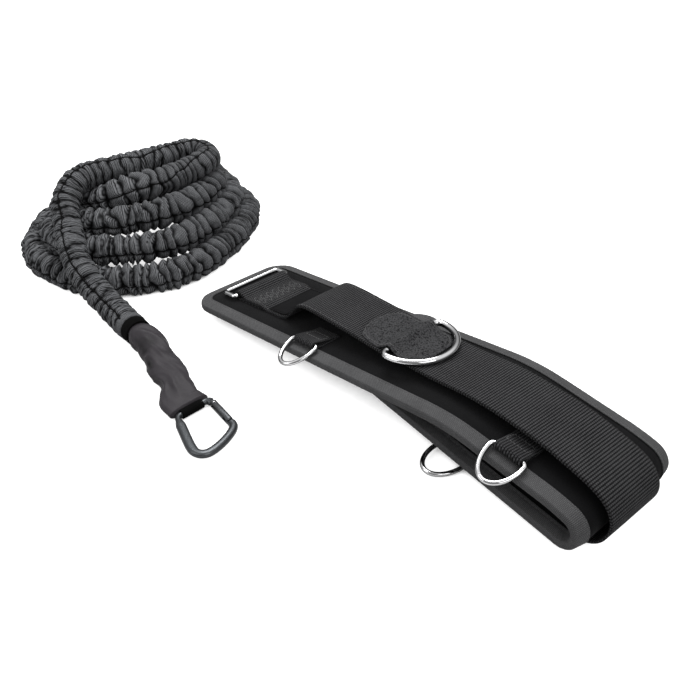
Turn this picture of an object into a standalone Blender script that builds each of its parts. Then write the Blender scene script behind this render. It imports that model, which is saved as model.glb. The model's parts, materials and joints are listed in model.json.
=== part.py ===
# Resistance sprint trainer: a padded waist belt, folded on the floor, and a
# coiled elastic cord in a ruched sleeve with a carabiner at each end.
# Metres. +X runs along the belt from its buckle ring to the fold, +Y away
# from the belt's near edge, +Z up. The origin is under the middle of the belt.

import math

import bmesh
import bpy
import numpy as np
from mathutils import Matrix, Vector

# Pad
# Places along the belt are measured from a line this far in from the pad's end
PAD_LEAD = 0.011
PAD_LENGTH = 0.751
PAD_WIDTH = 0.115
PAD_CORNER_RADIUS = 0.022
COVER_THICKNESS = 0.0012
FOAM_THICKNESS = 0.0064
LINING_THICKNESS = 0.0010
SEAT_GAP = 0.0003
RIM_TAPER_WIDTH = 0.014
RIM_TAPER_DROP = 0.0026
RIM_TAPER_RISE = 0.0022
LONG_STEP = 0.026
BEND_STEP = math.radians(13)

# Fold of the pad, as it lies: straight runs and bends of its middle surface
END_HEIGHT = 0.016
RISE_ANGLE = math.radians(6.4)
RISE_RUN = 0.297
CREST_RUN = 0.050
FALL_ANGLE = math.radians(-8.0)
FALL_RUN = 0.062
SHOULDER_RUN = 0.026
SHOULDER_ANGLE = math.radians(-17.0)
UNDER_TILT = math.radians(3.55)
FOLD_SLANT = math.radians(2.8)
SLANT_FROM = (0.200, 0.290)
SLANT_TO = (0.500, 0.600)

# Edge binding
BINDING_WIDTH = 0.0105
BINDING_THICKNESS = 0.0011

# Waist strap
STRAP_WIDTH = 0.0605
STRAP_THICKNESS = 0.0018
STRAP_CENTRE = 0.0575
STRAP_RISE = 0.0225
STRAP_FOLD_SHIFT = -0.008
STRAP_TAIL_REACH = 0.070
STRAP_LONG_STEP = 0.030
FOLD_LIFT_SHARES = ((0.25, 0.80), (0.5, 0.46), (0.72, 0.20), (0.9, 0.04), (1.0, 0.0))
HOOK_LENGTH = 0.090
HOOK_WIDTH = 0.050
HOOK_THICKNESS = 0.0015

# Buckle ring
BUCKLE_WIRE = 0.005
BUCKLE_CLEARANCE = 0.0035
BUCKLE_SPAN = STRAP_WIDTH + 2 * BUCKLE_CLEARANCE
BUCKLE_DEPTH = 0.0165
BUCKLE_BAR_PLACE = 0.0285
BUCKLE_CORNER = 0.0032
FOLD_UNDER_LENGTH = 0.036

# Label patch
LABEL_PLACE = 0.0730
LABEL_LENGTH = 0.035
LABEL_WIDTH = 0.055
LABEL_THICKNESS = 0.0009

# Large D-ring and its patch
LARGE_WIRE = 0.006
LARGE_SPAN = 0.071
LARGE_DEPTH = 0.041
LARGE_CORNER = 0.006
LARGE_BAR_PLACE = 0.231
PATCH_BEFORE_BAR = 0.043
PATCH_AFTER_BAR = 0.033
PATCH_START = LARGE_BAR_PLACE - PATCH_BEFORE_BAR
PATCH_END = LARGE_BAR_PLACE + PATCH_AFTER_BAR
PATCH_WIDTH = 0.056
PATCH_THICKNESS = 0.0013
PATCH_CORNER = 0.020
PATCH_MARGIN = 0.0008

# Small D-rings and their tabs
SMALL_WIRE = 0.004
SMALL_SPAN = 0.031
SMALL_DEPTH = 0.029
SMALL_CORNER = 0.0035
TAB_WIDTH = 0.025
TAB_THICKNESS = 0.0012
TAB_REACH = 0.030
RING_BAR_INSET = 0.0085
RING_PLACES = (0.153, 0.376, 0.586)
RING_TILTS = (math.radians(18.0), math.radians(18.0), math.radians(-2.0))

# Cord
RIB_CREST = 0.0139
RIB_VALLEY = 0.0130
LEAD_CREST = 0.0139
LEAD_VALLEY = 0.0135
RIB_PITCH = 0.0160
CORD_SIDES_COUNT = 8
FINE_CORD_STEP = 0.003
END_GAP = 0.0003

# Pile of loops: long radius towards +Y, short radius towards +X, one value a level
PILE_X = -0.1877
PILE_Y = 0.0448
LONG_RADII = (0.134, 0.110, 0.087, 0.065)
SHORT_RADII = (0.114, 0.088, 0.062, 0.036)
CENTRE_SHIFTS = (0.008, 0.014, 0.016, 0.018)
LEANS = (0.014, 0.009, 0.0, 0.0)
LEFT_SHARES = (0.900, 0.966, 0.969, 0.958)
LEVEL_HEIGHTS = (0.0, 0.0235, 0.0470, 0.0705)
SLUMPED_HEIGHTS = (0.0, 0.0230, 0.0384, 0.0532)
START_ANGLE = 66.0
END_ANGLE = 270.0
CLIMB_FROM = 350.0
CLIMB_TO = 430.0
SLUMP_FROM = (20.0, 80.0)
SLUMP_TO = (168.0, 248.0)
LEAN_FROM = 250.0
LEAN_TO = 360.0
ANGLE_STEP = 3.0

# Hand-chosen route from the top loop round the hairpin, over the pile and down to the near end
LEAD_ROUTE = (
    (-0.1525, 0.0980, 0.0856), (-0.1525, 0.1110, 0.0868), (-0.1528, 0.1205, 0.0886),
    (-0.1552, 0.1300, 0.0897), (-0.1616, 0.1366, 0.0906), (-0.1705, 0.1390, 0.0910),
    (-0.1794, 0.1366, 0.0918), (-0.1860, 0.1300, 0.0924), (-0.1886, 0.1205, 0.0929),
    (-0.1894, 0.1090, 0.0933), (-0.1898, 0.0920, 0.0937), (-0.1903, 0.0740, 0.0942),
    (-0.1915, 0.0500, 0.0950), (-0.1940, 0.0300, 0.0960), (-0.1958, 0.0100, 0.0967),
    (-0.1950, -0.0080, 0.0962), (-0.1897, -0.0240, 0.0912), (-0.1815, -0.0355, 0.0840),
    (-0.1720, -0.0430, 0.0765), (-0.1570, -0.0510, 0.0675), (-0.1430, -0.0570, 0.0580),
    (-0.1288, -0.0625, 0.0485), (-0.1130, -0.0665, 0.0400), (-0.0980, -0.0675, 0.0325),
    (-0.0830, -0.0670, 0.0250), (-0.0660, -0.0662, 0.0185), (-0.0540, -0.0663, 0.0155),
    (-0.0430, -0.0669, 0.0142), (-0.0290, -0.0681, 0.0141), (-0.0150, -0.0693, 0.0141),
)
# Far end of the sleeve, from its mouth to the first loop
FAR_ROUTE = (
    (-0.2862, 0.1420, 0.0141), (-0.2871, 0.1330, 0.0141), (-0.2881, 0.1240, 0.0141),
    (-0.2892, 0.1155, 0.0141),
)

# Cord ends
HEM_LENGTH = 0.012
HEM_OUTER = 0.0280
HEM_INNER = 0.0246
WRAP_INSET = 0.0015
# Cloth wrap: distance from the hem, width, height
WRAP_SIZES = (
    (0.000, 0.0220, 0.0220), (0.0115, 0.0220, 0.0220), (0.0165, 0.0262, 0.0246), (0.0280, 0.0278, 0.0236),
    (0.0400, 0.0286, 0.0216), (0.0500, 0.0262, 0.0200), (0.0590, 0.0272, 0.0188), (0.0680, 0.0310, 0.0176),
    (0.0760, 0.0322, 0.0166), (0.0860, 0.0304, 0.0158), (0.0940, 0.0270, 0.0156), (0.1000, 0.0264, 0.0152),
    (0.1080, 0.0320, 0.0134), (0.1180, 0.0376, 0.0118), (0.1270, 0.0402, 0.0106), (0.1365, 0.0412, 0.0098),
)
NEAR_WRAP_ROUTE = (
    (-0.0150, -0.0693), (-0.0020, -0.0705), (0.0200, -0.0725), (0.0450, -0.0775), (0.0700, -0.0835),
    (0.0890, -0.0908), (0.1020, -0.0958), (0.1138, -0.0957),
)
FAR_WRAP_ROUTE = (
    (-0.2862, 0.1420), (-0.2848, 0.1550), (-0.2815, 0.1720), (-0.2735, 0.1890), (-0.2670, 0.2060),
    (-0.2705, 0.2200), (-0.2830, 0.2275), (-0.3000, 0.2260), (-0.3160, 0.2200),
)
WRAP_SIDES = 14
WRAP_SQUARE_SHARE = 0.06
FLOOR_LIFT = 0.0002

# Loop that holds the carabiner in the wrap
HOLD_WIDTH = 0.0220
HOLD_THICKNESS = 0.0010
HOLD_DEPTH = 0.0100
HOLD_SLOT_HEIGHT = 0.0054
HOLD_CLEARANCE = 0.0005
# Where the loop's two runs close in behind the bar, as shares of its radius, spacing and tail
NECK_REACH_SHARE = 1.25
NECK_SPREAD_SHARE = 1.3
NECK_TAIL_SHARE = 0.6

# Carabiner: centre lines in its own plan, from the middle of its base bar
BASE_ROD = 0.0054
BASE_AHEAD = 0.0038
CLIP_HEIGHT = 0.0050
GATE_HINGE = (0.0090, 0.0176)
GATE_MEET = (0.0340, 0.0133)
CLIP_ROUTE = (
    (0.0090, 0.0176), (0.0055, 0.0178), (0.0024, 0.0172), (0.0005, 0.0152), (0.0000, 0.0125),
    (0.0000, 0.0), (0.0000, -0.0115), (0.0006, -0.0140), (0.0026, -0.0162), (0.0060, -0.0178),
    (0.0180, -0.0224), (0.0320, -0.0278), (0.0410, -0.0308), (0.0470, -0.0316), (0.0520, -0.0298),
    (0.0550, -0.0258), (0.0556, -0.0210), (0.0549, -0.0145), (0.0530, -0.0065), (0.0500, 0.0015),
    (0.0465, 0.0080), (0.0432, 0.0112), (0.0390, 0.0125), (0.0340, 0.0133),
)
SPINE_WIDTH = 0.0088
SPINE_HEIGHT = 0.0062
SPINE_RUN = 0.040
NOSE_WIDTH = 0.0078
TONGUE_THICKNESS = 0.0026
TONGUE_WIDTH = 0.0064
TONGUE_LENGTH = 0.0052
GATE_ROD = 0.0074
GATE_SLOT_HEIGHT = 0.0034
GATE_SLOT_DEPTH = 0.0074
GATE_END = 0.0030
GATE_PIN = 0.0020
PIN_CLEARANCE = 0.0001
STEP_LENGTH = 0.0008

PAD_THICKNESS = COVER_THICKNESS + FOAM_THICKNESS + LINING_THICKNESS + 2 * SEAT_GAP
PAD_END = PAD_LENGTH - PAD_LEAD


def clear_scene():
    for item in list(bpy.data.objects):
        bpy.data.objects.remove(item, do_unlink=True)


def material(name, colour, roughness, metallic=0.0):
    made = bpy.data.materials.new(name)
    made.use_nodes = True
    shader = made.node_tree.nodes["Principled BSDF"]
    shader.inputs["Base Color"].default_value = (*colour, 1.0)
    shader.inputs["Roughness"].default_value = roughness
    shader.inputs["Metallic"].default_value = metallic
    made.diffuse_color = (*colour, 1.0)
    return made


def mesh_object(name, bm, finish, origin=Vector()):
    bmesh.ops.recalc_face_normals(bm, faces=bm.faces)
    if bm.calc_volume(signed=True) < 0:
        bmesh.ops.reverse_faces(bm, faces=bm.faces)
    mesh = bpy.data.meshes.new(name)
    bmesh.ops.translate(bm, verts=bm.verts, vec=-origin)
    bm.to_mesh(mesh)
    bm.free()
    mesh.materials.append(finish)
    made = bpy.data.objects.new(name, mesh)
    made.location = origin
    bpy.context.collection.objects.link(made)
    return made


def smooth(piece, angle=math.radians(40)):
    piece.data.shade_smooth()
    piece.data.set_sharp_from_angle(angle=angle)
    return piece


def loft(sections, closed=False):
    # One closed body through like rings of points
    bm = bmesh.new()
    rings = [[bm.verts.new(p) for p in ring] for ring in sections]
    count = len(rings[0])
    pairs = list(zip(rings, rings[1:]))
    if closed:
        pairs.append((rings[-1], rings[0]))
    for low, high in pairs:
        for i in range(count):
            k = (i + 1) % count
            bm.faces.new((low[i], low[k], high[k], high[i]))
    if not closed:
        bm.faces.new(rings[0][::-1])
        bm.faces.new(rings[-1])
    return bm


def curve_through(points, per_span):
    # Centripetal Catmull-Rom curve through hand-chosen points
    pts = [np.array(p, dtype=float) for p in points]
    pts = [2 * pts[0] - pts[1]] + pts + [2 * pts[-1] - pts[-2]]
    out = []
    for a, b, c, d in zip(pts, pts[1:], pts[2:], pts[3:]):
        t0 = 0.0
        t1 = t0 + math.sqrt(np.linalg.norm(b - a))
        t2 = t1 + math.sqrt(np.linalg.norm(c - b))
        t3 = t2 + math.sqrt(np.linalg.norm(d - c))
        for t in np.linspace(t1, t2, per_span, endpoint=False):
            ab = (t1 - t) / (t1 - t0) * a + (t - t0) / (t1 - t0) * b
            bc = (t2 - t) / (t2 - t1) * b + (t - t1) / (t2 - t1) * c
            cd = (t3 - t) / (t3 - t2) * c + (t - t2) / (t3 - t2) * d
            abc = (t2 - t) / (t2 - t0) * ab + (t - t0) / (t2 - t0) * bc
            bcd = (t3 - t) / (t3 - t1) * bc + (t - t1) / (t3 - t1) * cd
            out.append((t2 - t) / (t2 - t1) * abc + (t - t1) / (t2 - t1) * bcd)
    out.append(pts[-2])
    return np.array(out)


def lengths_along(points):
    steps = np.linalg.norm(np.diff(points, axis=0), axis=1)
    return np.concatenate(([0.0], np.cumsum(steps)))


def at_lengths(points, wanted):
    along = lengths_along(points)
    return np.column_stack([np.interp(wanted, along, points[:, k]) for k in range(points.shape[1])])


def ease(share):
    held = min(max(share, 0.0), 1.0)
    return held * held * (3 - 2 * held)


# The pad's middle surface, as heading against length
FINE_STEP = PAD_END / 2960


def fold_profile():
    contact = STRAP_THICKNESS + SEAT_GAP + PAD_THICKNESS / 2

    def walk(fold_radius):
        fold_turn = math.pi + UNDER_TILT + SHOULDER_ANGLE
        fold_run = fold_radius * fold_turn
        knots = [0.0, RISE_RUN, CREST_RUN, FALL_RUN, SHOULDER_RUN, fold_run]
        ends = [RISE_ANGLE, RISE_ANGLE, FALL_ANGLE, FALL_ANGLE, SHOULDER_ANGLE, -math.pi - UNDER_TILT]
        places = np.cumsum(knots)
        run = np.arange(0.0, PAD_END + FINE_STEP / 2, FINE_STEP)
        heading = np.interp(run, places, ends)
        middle = (heading[1:] + heading[:-1]) / 2
        x = np.concatenate(([0.0], np.cumsum(np.cos(middle)))) * FINE_STEP
        z = END_HEIGHT + np.concatenate(([0.0], np.cumsum(np.sin(middle)))) * FINE_STEP
        return run, x, z, heading, places

    # The fold's radius brings the lower layer down on to the strap
    low, high = PAD_THICKNESS / 2, PAD_THICKNESS * 4
    for _ in range(40):
        radius = (low + high) / 2
        height = walk(radius)[2].min()
        if height > contact:
            low = radius
        else:
            high = radius
    return walk(radius)


PROFILE_RUN, PROFILE_X, PROFILE_Z, PROFILE_HEADING, PROFILE_KNOTS = fold_profile()
FOLD_START = PROFILE_KNOTS[4]
FOLD_END = PROFILE_KNOTS[5]


FOLD_PLACE = (FOLD_START + FOLD_END) / 2
CREST_X = float(np.interp(RISE_RUN, PROFILE_RUN, PROFILE_X))
PIVOT_X = CREST_X + FOLD_PLACE - RISE_RUN


def belt_point(s, w, h):
    # s along the pad, w across it from the near edge, h out from its outer face.
    # The fold's line is slanted, so the lower layer swings away from the upper one,
    # and near the fold the stations slant with it
    across = w - PAD_WIDTH / 2
    slanted = ease((s - SLANT_FROM[0]) / (SLANT_FROM[1] - SLANT_FROM[0]))
    slanted *= 1 - ease((s - SLANT_TO[0]) / (SLANT_TO[1] - SLANT_TO[0]))
    along = s + across * math.tan(FOLD_SLANT) * slanted - FOLD_PLACE
    ahead = along * math.cos(FOLD_SLANT) - across * math.sin(FOLD_SLANT)
    beside = along * math.sin(FOLD_SLANT) + across * math.cos(FOLD_SLANT)
    run = FOLD_PLACE + ahead
    clipped = min(max(run, 0.0), PAD_END)
    angle = float(np.interp(clipped, PROFILE_RUN, PROFILE_HEADING))
    past = run - clipped
    out = h + PAD_THICKNESS / 2
    x = float(np.interp(clipped, PROFILE_RUN, PROFILE_X)) + past * math.cos(angle) - out * math.sin(angle)
    z = float(np.interp(clipped, PROFILE_RUN, PROFILE_Z)) + past * math.sin(angle) + out * math.cos(angle)
    reach = x - PIVOT_X
    return Vector((
        PIVOT_X + reach * math.cos(FOLD_SLANT) + beside * math.sin(FOLD_SLANT),
        PAD_WIDTH / 2 - reach * math.sin(FOLD_SLANT) + beside * math.cos(FOLD_SLANT),
        z,
    ))


def bend_stations(start, end, long_step, turn_step):
    # Stations along the pad, closer where it bends
    stations = [start]
    while stations[-1] < end:
        s = stations[-1]
        step = long_step
        while step > long_step / 12:
            turn = abs(np.interp(s + step, PROFILE_RUN, PROFILE_HEADING)
                       - np.interp(s, PROFILE_RUN, PROFILE_HEADING))
            if turn <= turn_step:
                break
            step *= 0.8
        stations.append(s + step)
    stations[-1] = end
    if stations[-1] - stations[-2] < long_step / 12:
        del stations[-2]
    return stations


PAD_STATIONS = bend_stations(PAD_CORNER_RADIUS, PAD_END - PAD_CORNER_RADIUS, LONG_STEP, BEND_STEP)
PAD_STATIONS[0] -= PAD_LEAD
CORNER_ANGLES = [math.radians(a) for a in (0, 22.5, 45, 67.5)]


def rim(inset):
    # Near half of the pad's outline, drawn in by inset, from its left end to its right
    turn = PAD_CORNER_RADIUS - inset
    corner = [(PAD_CORNER_RADIUS - turn * math.cos(a), PAD_CORNER_RADIUS - turn * math.sin(a))
              for a in CORNER_ANGLES]
    left = [(s - PAD_LEAD, w) for s, w in corner]
    right = [(PAD_END - s, w) for s, w in reversed(corner)]
    return left + [(s, inset) for s in PAD_STATIONS] + right


def rim_share(inset):
    return max(0.0, 1.0 - max(inset, 0.0) / RIM_TAPER_WIDTH)


def rim_drop(inset):
    return -RIM_TAPER_DROP * rim_share(inset)


def far(near):
    return [(s, PAD_WIDTH - w) for s, w in near]


def pad_layer(name, top, bottom, top_change, bottom_change, finish):
    # A sheet of the pad: a flat middle and a band that thins to the rim
    bm = bmesh.new()
    edge, inner = rim(0.0), rim(RIM_TAPER_WIDTH)
    grids = []
    for height, change in ((top, top_change), (bottom, bottom_change)):
        low = height + change
        rows = [(edge, low), (inner, height), (far(inner), height), (far(edge), low)]
        grids.append([[bm.verts.new(belt_point(s, w, h)) for s, w in row] for row, h in rows])
    for side, grid in enumerate(grids):
        for near_row, far_row in zip(grid, grid[1:]):
            for j in range(len(near_row) - 1):
                quad = (near_row[j], near_row[j + 1], far_row[j + 1], far_row[j])
                bm.faces.new(quad if side == 0 else quad[::-1])
        for j in (0, -1):
            quad = tuple(row[j] for row in grid)
            turned = quad if (j == 0) == (side == 0) else quad[::-1]
            bm.faces.new(turned)
    upper, lower = grids
    loop_up = upper[0] + upper[3][::-1]
    loop_down = lower[0] + lower[3][::-1]
    for i in range(len(loop_up)):
        k = (i + 1) % len(loop_up)
        bm.faces.new((loop_up[i], loop_down[i], loop_down[k], loop_up[k]))
    return mesh_object(name, bm, finish)


def make_pad(finishes):
    cover_low = -COVER_THICKNESS
    foam_top = cover_low - SEAT_GAP
    foam_low = foam_top - FOAM_THICKNESS
    lining_top = foam_low - SEAT_GAP
    lining_low = lining_top - LINING_THICKNESS
    return [
        pad_layer("pad_cover", 0.0, cover_low, -RIM_TAPER_DROP, -RIM_TAPER_DROP, finishes["cover"]),
        pad_layer("foam_core", foam_top, foam_low, -RIM_TAPER_DROP, RIM_TAPER_RISE, finishes["foam"]),
        pad_layer("pad_lining", lining_top, lining_low, RIM_TAPER_RISE, RIM_TAPER_RISE, finishes["lining"]),
    ]


def binding_station(place):
    near = rim(0.0)
    return min(range(len(near)), key=lambda i: abs(near[i][0] - place))


def make_binding(finish):
    out = BINDING_THICKNESS
    top, bottom = SEAT_GAP, -PAD_THICKNESS - SEAT_GAP
    edge = -SEAT_GAP
    section = [
        (BINDING_WIDTH, top + out), (0.0, top + out), (edge - out * 0.7, top + out * 0.3),
        (edge - out, top - out), (edge - out, bottom + out), (edge - out * 0.7, bottom - out * 0.3),
        (0.0, bottom - out), (BINDING_WIDTH, bottom - out), (BINDING_WIDTH, bottom),
        (edge, bottom), (edge, top), (BINDING_WIDTH, top),
    ]
    outlines = []
    for inset, h in section:
        near = rim(inset)
        change = rim_drop(inset) if h > -PAD_THICKNESS / 2 else RIM_TAPER_RISE * rim_share(inset)
        outlines.append([belt_point(s, w, h + change) for s, w in near + far(near)[::-1]])
    rings = [list(corners) for corners in zip(*outlines)]
    # Lengths of tape that meet past the crest and on the fold
    last = len(rings) - 1
    crest = binding_station(RISE_RUN + CREST_RUN + FALL_RUN / 2)
    turn = binding_station(FOLD_PLACE)
    upper = rings[last - crest:] + rings[:crest + 1]
    near_fold = [stepped(rings[crest], rings[crest + 1])] + rings[crest + 1:turn + 1]
    lower = [stepped(rings[turn], rings[turn + 1])] + rings[turn + 1:last - turn]
    lower.append(stepped(rings[last - turn], rings[last - turn - 1]))
    far_fold = rings[last - turn:last - crest] + [stepped(rings[last - crest], rings[last - crest - 1])]
    for name, run in (("upper_edge_binding", upper), ("near_fold_binding", near_fold),
                      ("far_fold_binding", far_fold), ("lower_edge_binding", lower)):
        mesh_object(name, loft(run), finish)


def ribbon_rings(near, far_side, thickness):
    # A flat band between two edge lines, its thickness shared to both sides
    near = [Vector(p) for p in near]
    far_side = [Vector(p) for p in far_side]
    middle = [(a + b) / 2 for a, b in zip(near, far_side)]
    rings = []
    last = len(middle) - 1
    for i, (a, b) in enumerate(zip(near, far_side)):
        ahead = middle[min(i + 1, last)] - middle[max(i - 1, 0)]
        out = ahead.cross(b - a).normalized() * thickness / 2
        rings.append([a + out, b + out, b - out, a - out])
    return rings


def ribbon(name, near, far_side, thickness, finish):
    return mesh_object(name, loft(ribbon_rings(near, far_side, thickness)), finish)


def stepped(ring, following):
    # The ring moved towards the next one, to leave a gap behind it
    apart = min((b - a).length for a, b in zip(ring, following))
    return [a.lerp(b, SEAT_GAP / apart) for a, b in zip(ring, following)]


def thin_out(points, turn_limit, long_limit):
    # Places of a fine path that its bends need
    kept = [0]
    heading = None
    since = 0.0
    for i in range(1, len(points) - 1):
        step = points[i] - points[i - 1]
        since += float(np.linalg.norm(step))
        step = step / np.linalg.norm(step)
        if heading is None:
            heading = step
        turned = math.acos(min(1.0, float(step @ heading)))
        if turned >= turn_limit or since >= long_limit:
            kept.append(i)
            heading = step
            since = 0.0
    kept.append(len(points) - 1)
    return kept


STRAP_LIE = SEAT_GAP + STRAP_THICKNESS / 2
# Where the strap stands clear of the pad: metres along the pad, share of STRAP_RISE
STRAP_LIFT_SHARES = (
    (0.092, 0.00), (0.104, 0.16), (0.113, 0.56), (0.122, 0.90), (0.131, 1.00), (0.145, 0.97),
    (0.163, 0.88), (0.188, 0.75), (0.210, 0.60), (0.231, 0.47), (0.256, 0.43), (0.280, 0.35),
    (0.303, 0.32), (0.330, 0.40), (0.352, 0.48), (0.374, 0.56), (0.394, 0.60), (0.411, 0.58),
)
STRAP_SHIFT_SHARES = ((0.0, 0.0), (0.300, 0.0), (0.360, 0.2), (0.420, 0.7), (0.470, 1.0), (1.0, 1.0))


def buckle_bar():
    height = SEAT_GAP + STRAP_THICKNESS + SEAT_GAP + BUCKLE_WIRE / 2
    return BUCKLE_BAR_PLACE, height


def strap_lines():
    # Edge lines of the strap, from its turned-under end to its tail on the floor
    bar_s, bar_h = buckle_bar()
    wrap_radius = BUCKLE_WIRE / 2 + SEAT_GAP + STRAP_THICKNESS / 2
    over = STRAP_LIE + STRAP_THICKNESS + SEAT_GAP
    end_s = bar_s + FOLD_UNDER_LENGTH
    flat = [(end_s, STRAP_LIE), ((end_s + bar_s) / 2, STRAP_LIE)]
    for a in np.linspace(-90.0, -270.0, 9):
        turn = math.radians(a)
        flat.append((bar_s + wrap_radius * math.cos(turn), bar_h + wrap_radius * math.sin(turn)))
    flat += [
        (bar_s + BUCKLE_WIRE, bar_h + wrap_radius * 0.72),
        (bar_s + BUCKLE_WIRE * 2.4, over + SEAT_GAP),
        (bar_s + FOLD_UNDER_LENGTH * 0.65, over),
        (end_s + STRAP_THICKNESS * 0.6, over),
        (end_s + STRAP_THICKNESS * 4, STRAP_LIE),
    ]
    flat += [(place, STRAP_LIE + lift * STRAP_RISE) for place, lift in STRAP_LIFT_SHARES]
    fold_run = FOLD_END - FOLD_START
    lift = STRAP_LIFT_SHARES[-1][1] * STRAP_RISE
    for share, kept in FOLD_LIFT_SHARES:
        flat.append((FOLD_START + share * fold_run, STRAP_LIE + lift * kept))
    fine = curve_through(flat, 10)
    near, far_side = [], []
    for s, h in fine:
        if s > end_s:
            h = max(h, STRAP_LIE)
        shift = STRAP_FOLD_SHIFT * float(np.interp(s, *zip(*STRAP_SHIFT_SHARES)))
        centre = STRAP_CENTRE + shift
        near.append(belt_point(s, centre - STRAP_WIDTH / 2, h))
        far_side.append(belt_point(s, centre + STRAP_WIDTH / 2, h))
    floor = STRAP_THICKNESS / 2
    start = float(fine[-1][0])
    tail = PAD_END - STRAP_TAIL_REACH
    for s in np.linspace(start, tail, 14)[1:]:
        for line, side in ((near, -1), (far_side, 1)):
            spot = belt_point(s, STRAP_CENTRE + STRAP_FOLD_SHIFT + side * STRAP_WIDTH / 2, 0.0)
            line.append(Vector((spot.x, spot.y, floor)))
    for line in (near, far_side):
        for spot in line:
            spot.z = max(spot.z, floor)
    middle = np.array([(a + b) / 2 for a, b in zip(near, far_side)])
    kept = thin_out(middle, math.radians(10), STRAP_LONG_STEP)
    return [near[i] for i in kept], [far_side[i] for i in kept]


def make_strap(lines, finish):
    # The run over the pad and the tail below it, meeting on the fold
    rings = ribbon_rings(*lines, STRAP_THICKNESS)
    turn = max(range(len(rings)), key=lambda i: rings[i][0].x)
    mesh_object("waist_strap", loft(rings[:turn + 1]), finish)
    mesh_object("strap_tail", loft([stepped(rings[turn], rings[turn + 1])] + rings[turn + 1:]), finish)


def strap_top(lines):
    # Upper face of the strap's top run as heights against x
    middle = [(a + b) / 2 for a, b in zip(*lines)]
    turn = max(range(len(middle)), key=lambda i: middle[i].x)
    start = BUCKLE_BAR_PLACE + FOLD_UNDER_LENGTH + BUCKLE_WIRE
    run = [(p.x, p.z) for i, p in enumerate(middle) if i <= turn and p.x > start]
    spots = sorted(run)
    return [p[0] for p in spots], [p[1] for p in spots]


def strap_surface(top, x):
    reach = STRAP_THICKNESS
    low, high = np.interp((x - reach, x + reach), *top)
    slope = math.atan2(high - low, 2 * reach)
    return float(np.interp(x, *top)) + STRAP_THICKNESS / 2 / math.cos(slope), slope


def on_strap(top, x, height):
    surface, slope = strap_surface(top, x)
    return x, surface + height / math.cos(slope)


def along_strap(top, start, end, height):
    # Points over the strap at its own stations between two places
    inside = [x for x in top[0] if start + STRAP_THICKNESS < x < end - STRAP_THICKNESS]
    return [on_strap(top, x, height) for x in [start] + inside + [end]]


def straight_ribbon(name, route, thickness, finish, half_widths):
    near = [(x, STRAP_CENTRE - half, z) for (x, z), half in zip(route, half_widths)]
    far_side = [(x, STRAP_CENTRE + half, z) for (x, z), half in zip(route, half_widths)]
    return ribbon(name, near, far_side, thickness, finish)


def make_hook_panel(lines, finish):
    # Hook tape on the upper face of the strap's tail
    tail_near, tail_far = lines[0][-1], lines[1][-1]
    inward = (lines[0][-2] - tail_near).normalized()
    across = (tail_far - tail_near).normalized()
    level = Vector((0.0, 0.0, STRAP_THICKNESS / 2 + SEAT_GAP + HOOK_THICKNESS / 2))
    inset = (STRAP_WIDTH - HOOK_WIDTH) / 2
    near, far_side = [], []
    for share in (0.0, 0.5, 1.0):
        base = tail_near + inward * (inset + HOOK_LENGTH * share) + level
        near.append(base + across * inset)
        far_side.append(base + across * (inset + HOOK_WIDTH))
    return ribbon("hook_panel", near, far_side, HOOK_THICKNESS, finish)


def make_label(top, finish):
    lie = 3 * SEAT_GAP + LABEL_THICKNESS / 2
    route = along_strap(top, LABEL_PLACE, LABEL_PLACE + LABEL_LENGTH, lie)
    return straight_ribbon("label_patch", route, LABEL_THICKNESS, finish, [LABEL_WIDTH / 2] * len(route))


def large_bar(top):
    x, z = on_strap(top, LARGE_BAR_PLACE, SEAT_GAP * 2 + LARGE_WIRE / 2)
    return Vector((x, STRAP_CENTRE, z))


def make_ring_patch(top, finish):
    # Rounded patch sewn over the strap, humped over the large ring's bar
    bar = large_bar(top)
    reach = LARGE_WIRE / 2 + SEAT_GAP * 2 + PATCH_THICKNESS / 2
    lie = 2 * SEAT_GAP + PATCH_THICKNESS / 2
    route = [on_strap(top, x, lie) for x in np.linspace(PATCH_START, bar.x - LARGE_WIRE * 2.0, 8)]
    lean = strap_surface(top, bar.x)[1]
    for a in (150.0, 120.0, 90.0, 60.0, 30.0):
        turn = math.radians(a) + lean
        route.append((bar.x + reach * math.cos(turn), bar.z + reach * math.sin(turn)))
    route += [on_strap(top, x, lie) for x in np.linspace(bar.x + LARGE_WIRE * 2.0, PATCH_END, 5)]
    fine = curve_through(route, 8)
    kept = thin_out(fine, math.radians(12), 0.009)
    route = [tuple(fine[i]) for i in kept]
    halves = []
    bow = LARGE_DEPTH - LARGE_CORNER - LARGE_WIRE / 2 - PATCH_MARGIN
    for x, _ in route:
        past = max(0.0, PATCH_CORNER - (x - PATCH_START))
        half = PATCH_WIDTH / 2 - PATCH_CORNER + math.sqrt(max(PATCH_CORNER ** 2 - past ** 2, 0.0))
        share = min(max((x - bar.x - LARGE_CORNER) / bow, 0.0), 1.0)
        inside = (LARGE_SPAN / 2 - LARGE_WIRE / 2 - PATCH_MARGIN) * math.sqrt(1 - share ** 2)
        halves.append(min(half, inside))
    return straight_ribbon("ring_patch", route, PATCH_THICKNESS, finish, halves)


def d_outline(span, depth, corner):
    # Closed outline in x, y: a straight bar on x = 0 and a bow out to x = depth
    half = span / 2
    points = [(0.0, -half + corner), (0.0, 0.0), (0.0, half - corner)]
    for a in (157.5, 135.0, 112.5):
        turn = math.radians(a)
        points.append((corner + corner * math.cos(turn), half - corner + corner * math.sin(turn)))
    for a in np.linspace(90.0, -90.0, 15):
        turn = math.radians(a)
        points.append((corner + (depth - corner) * math.cos(turn), half * math.sin(turn)))
    for a in (-112.5, -135.0, -157.5):
        turn = math.radians(a)
        points.append((corner + corner * math.cos(turn), -half + corner + corner * math.sin(turn)))
    return points


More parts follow.
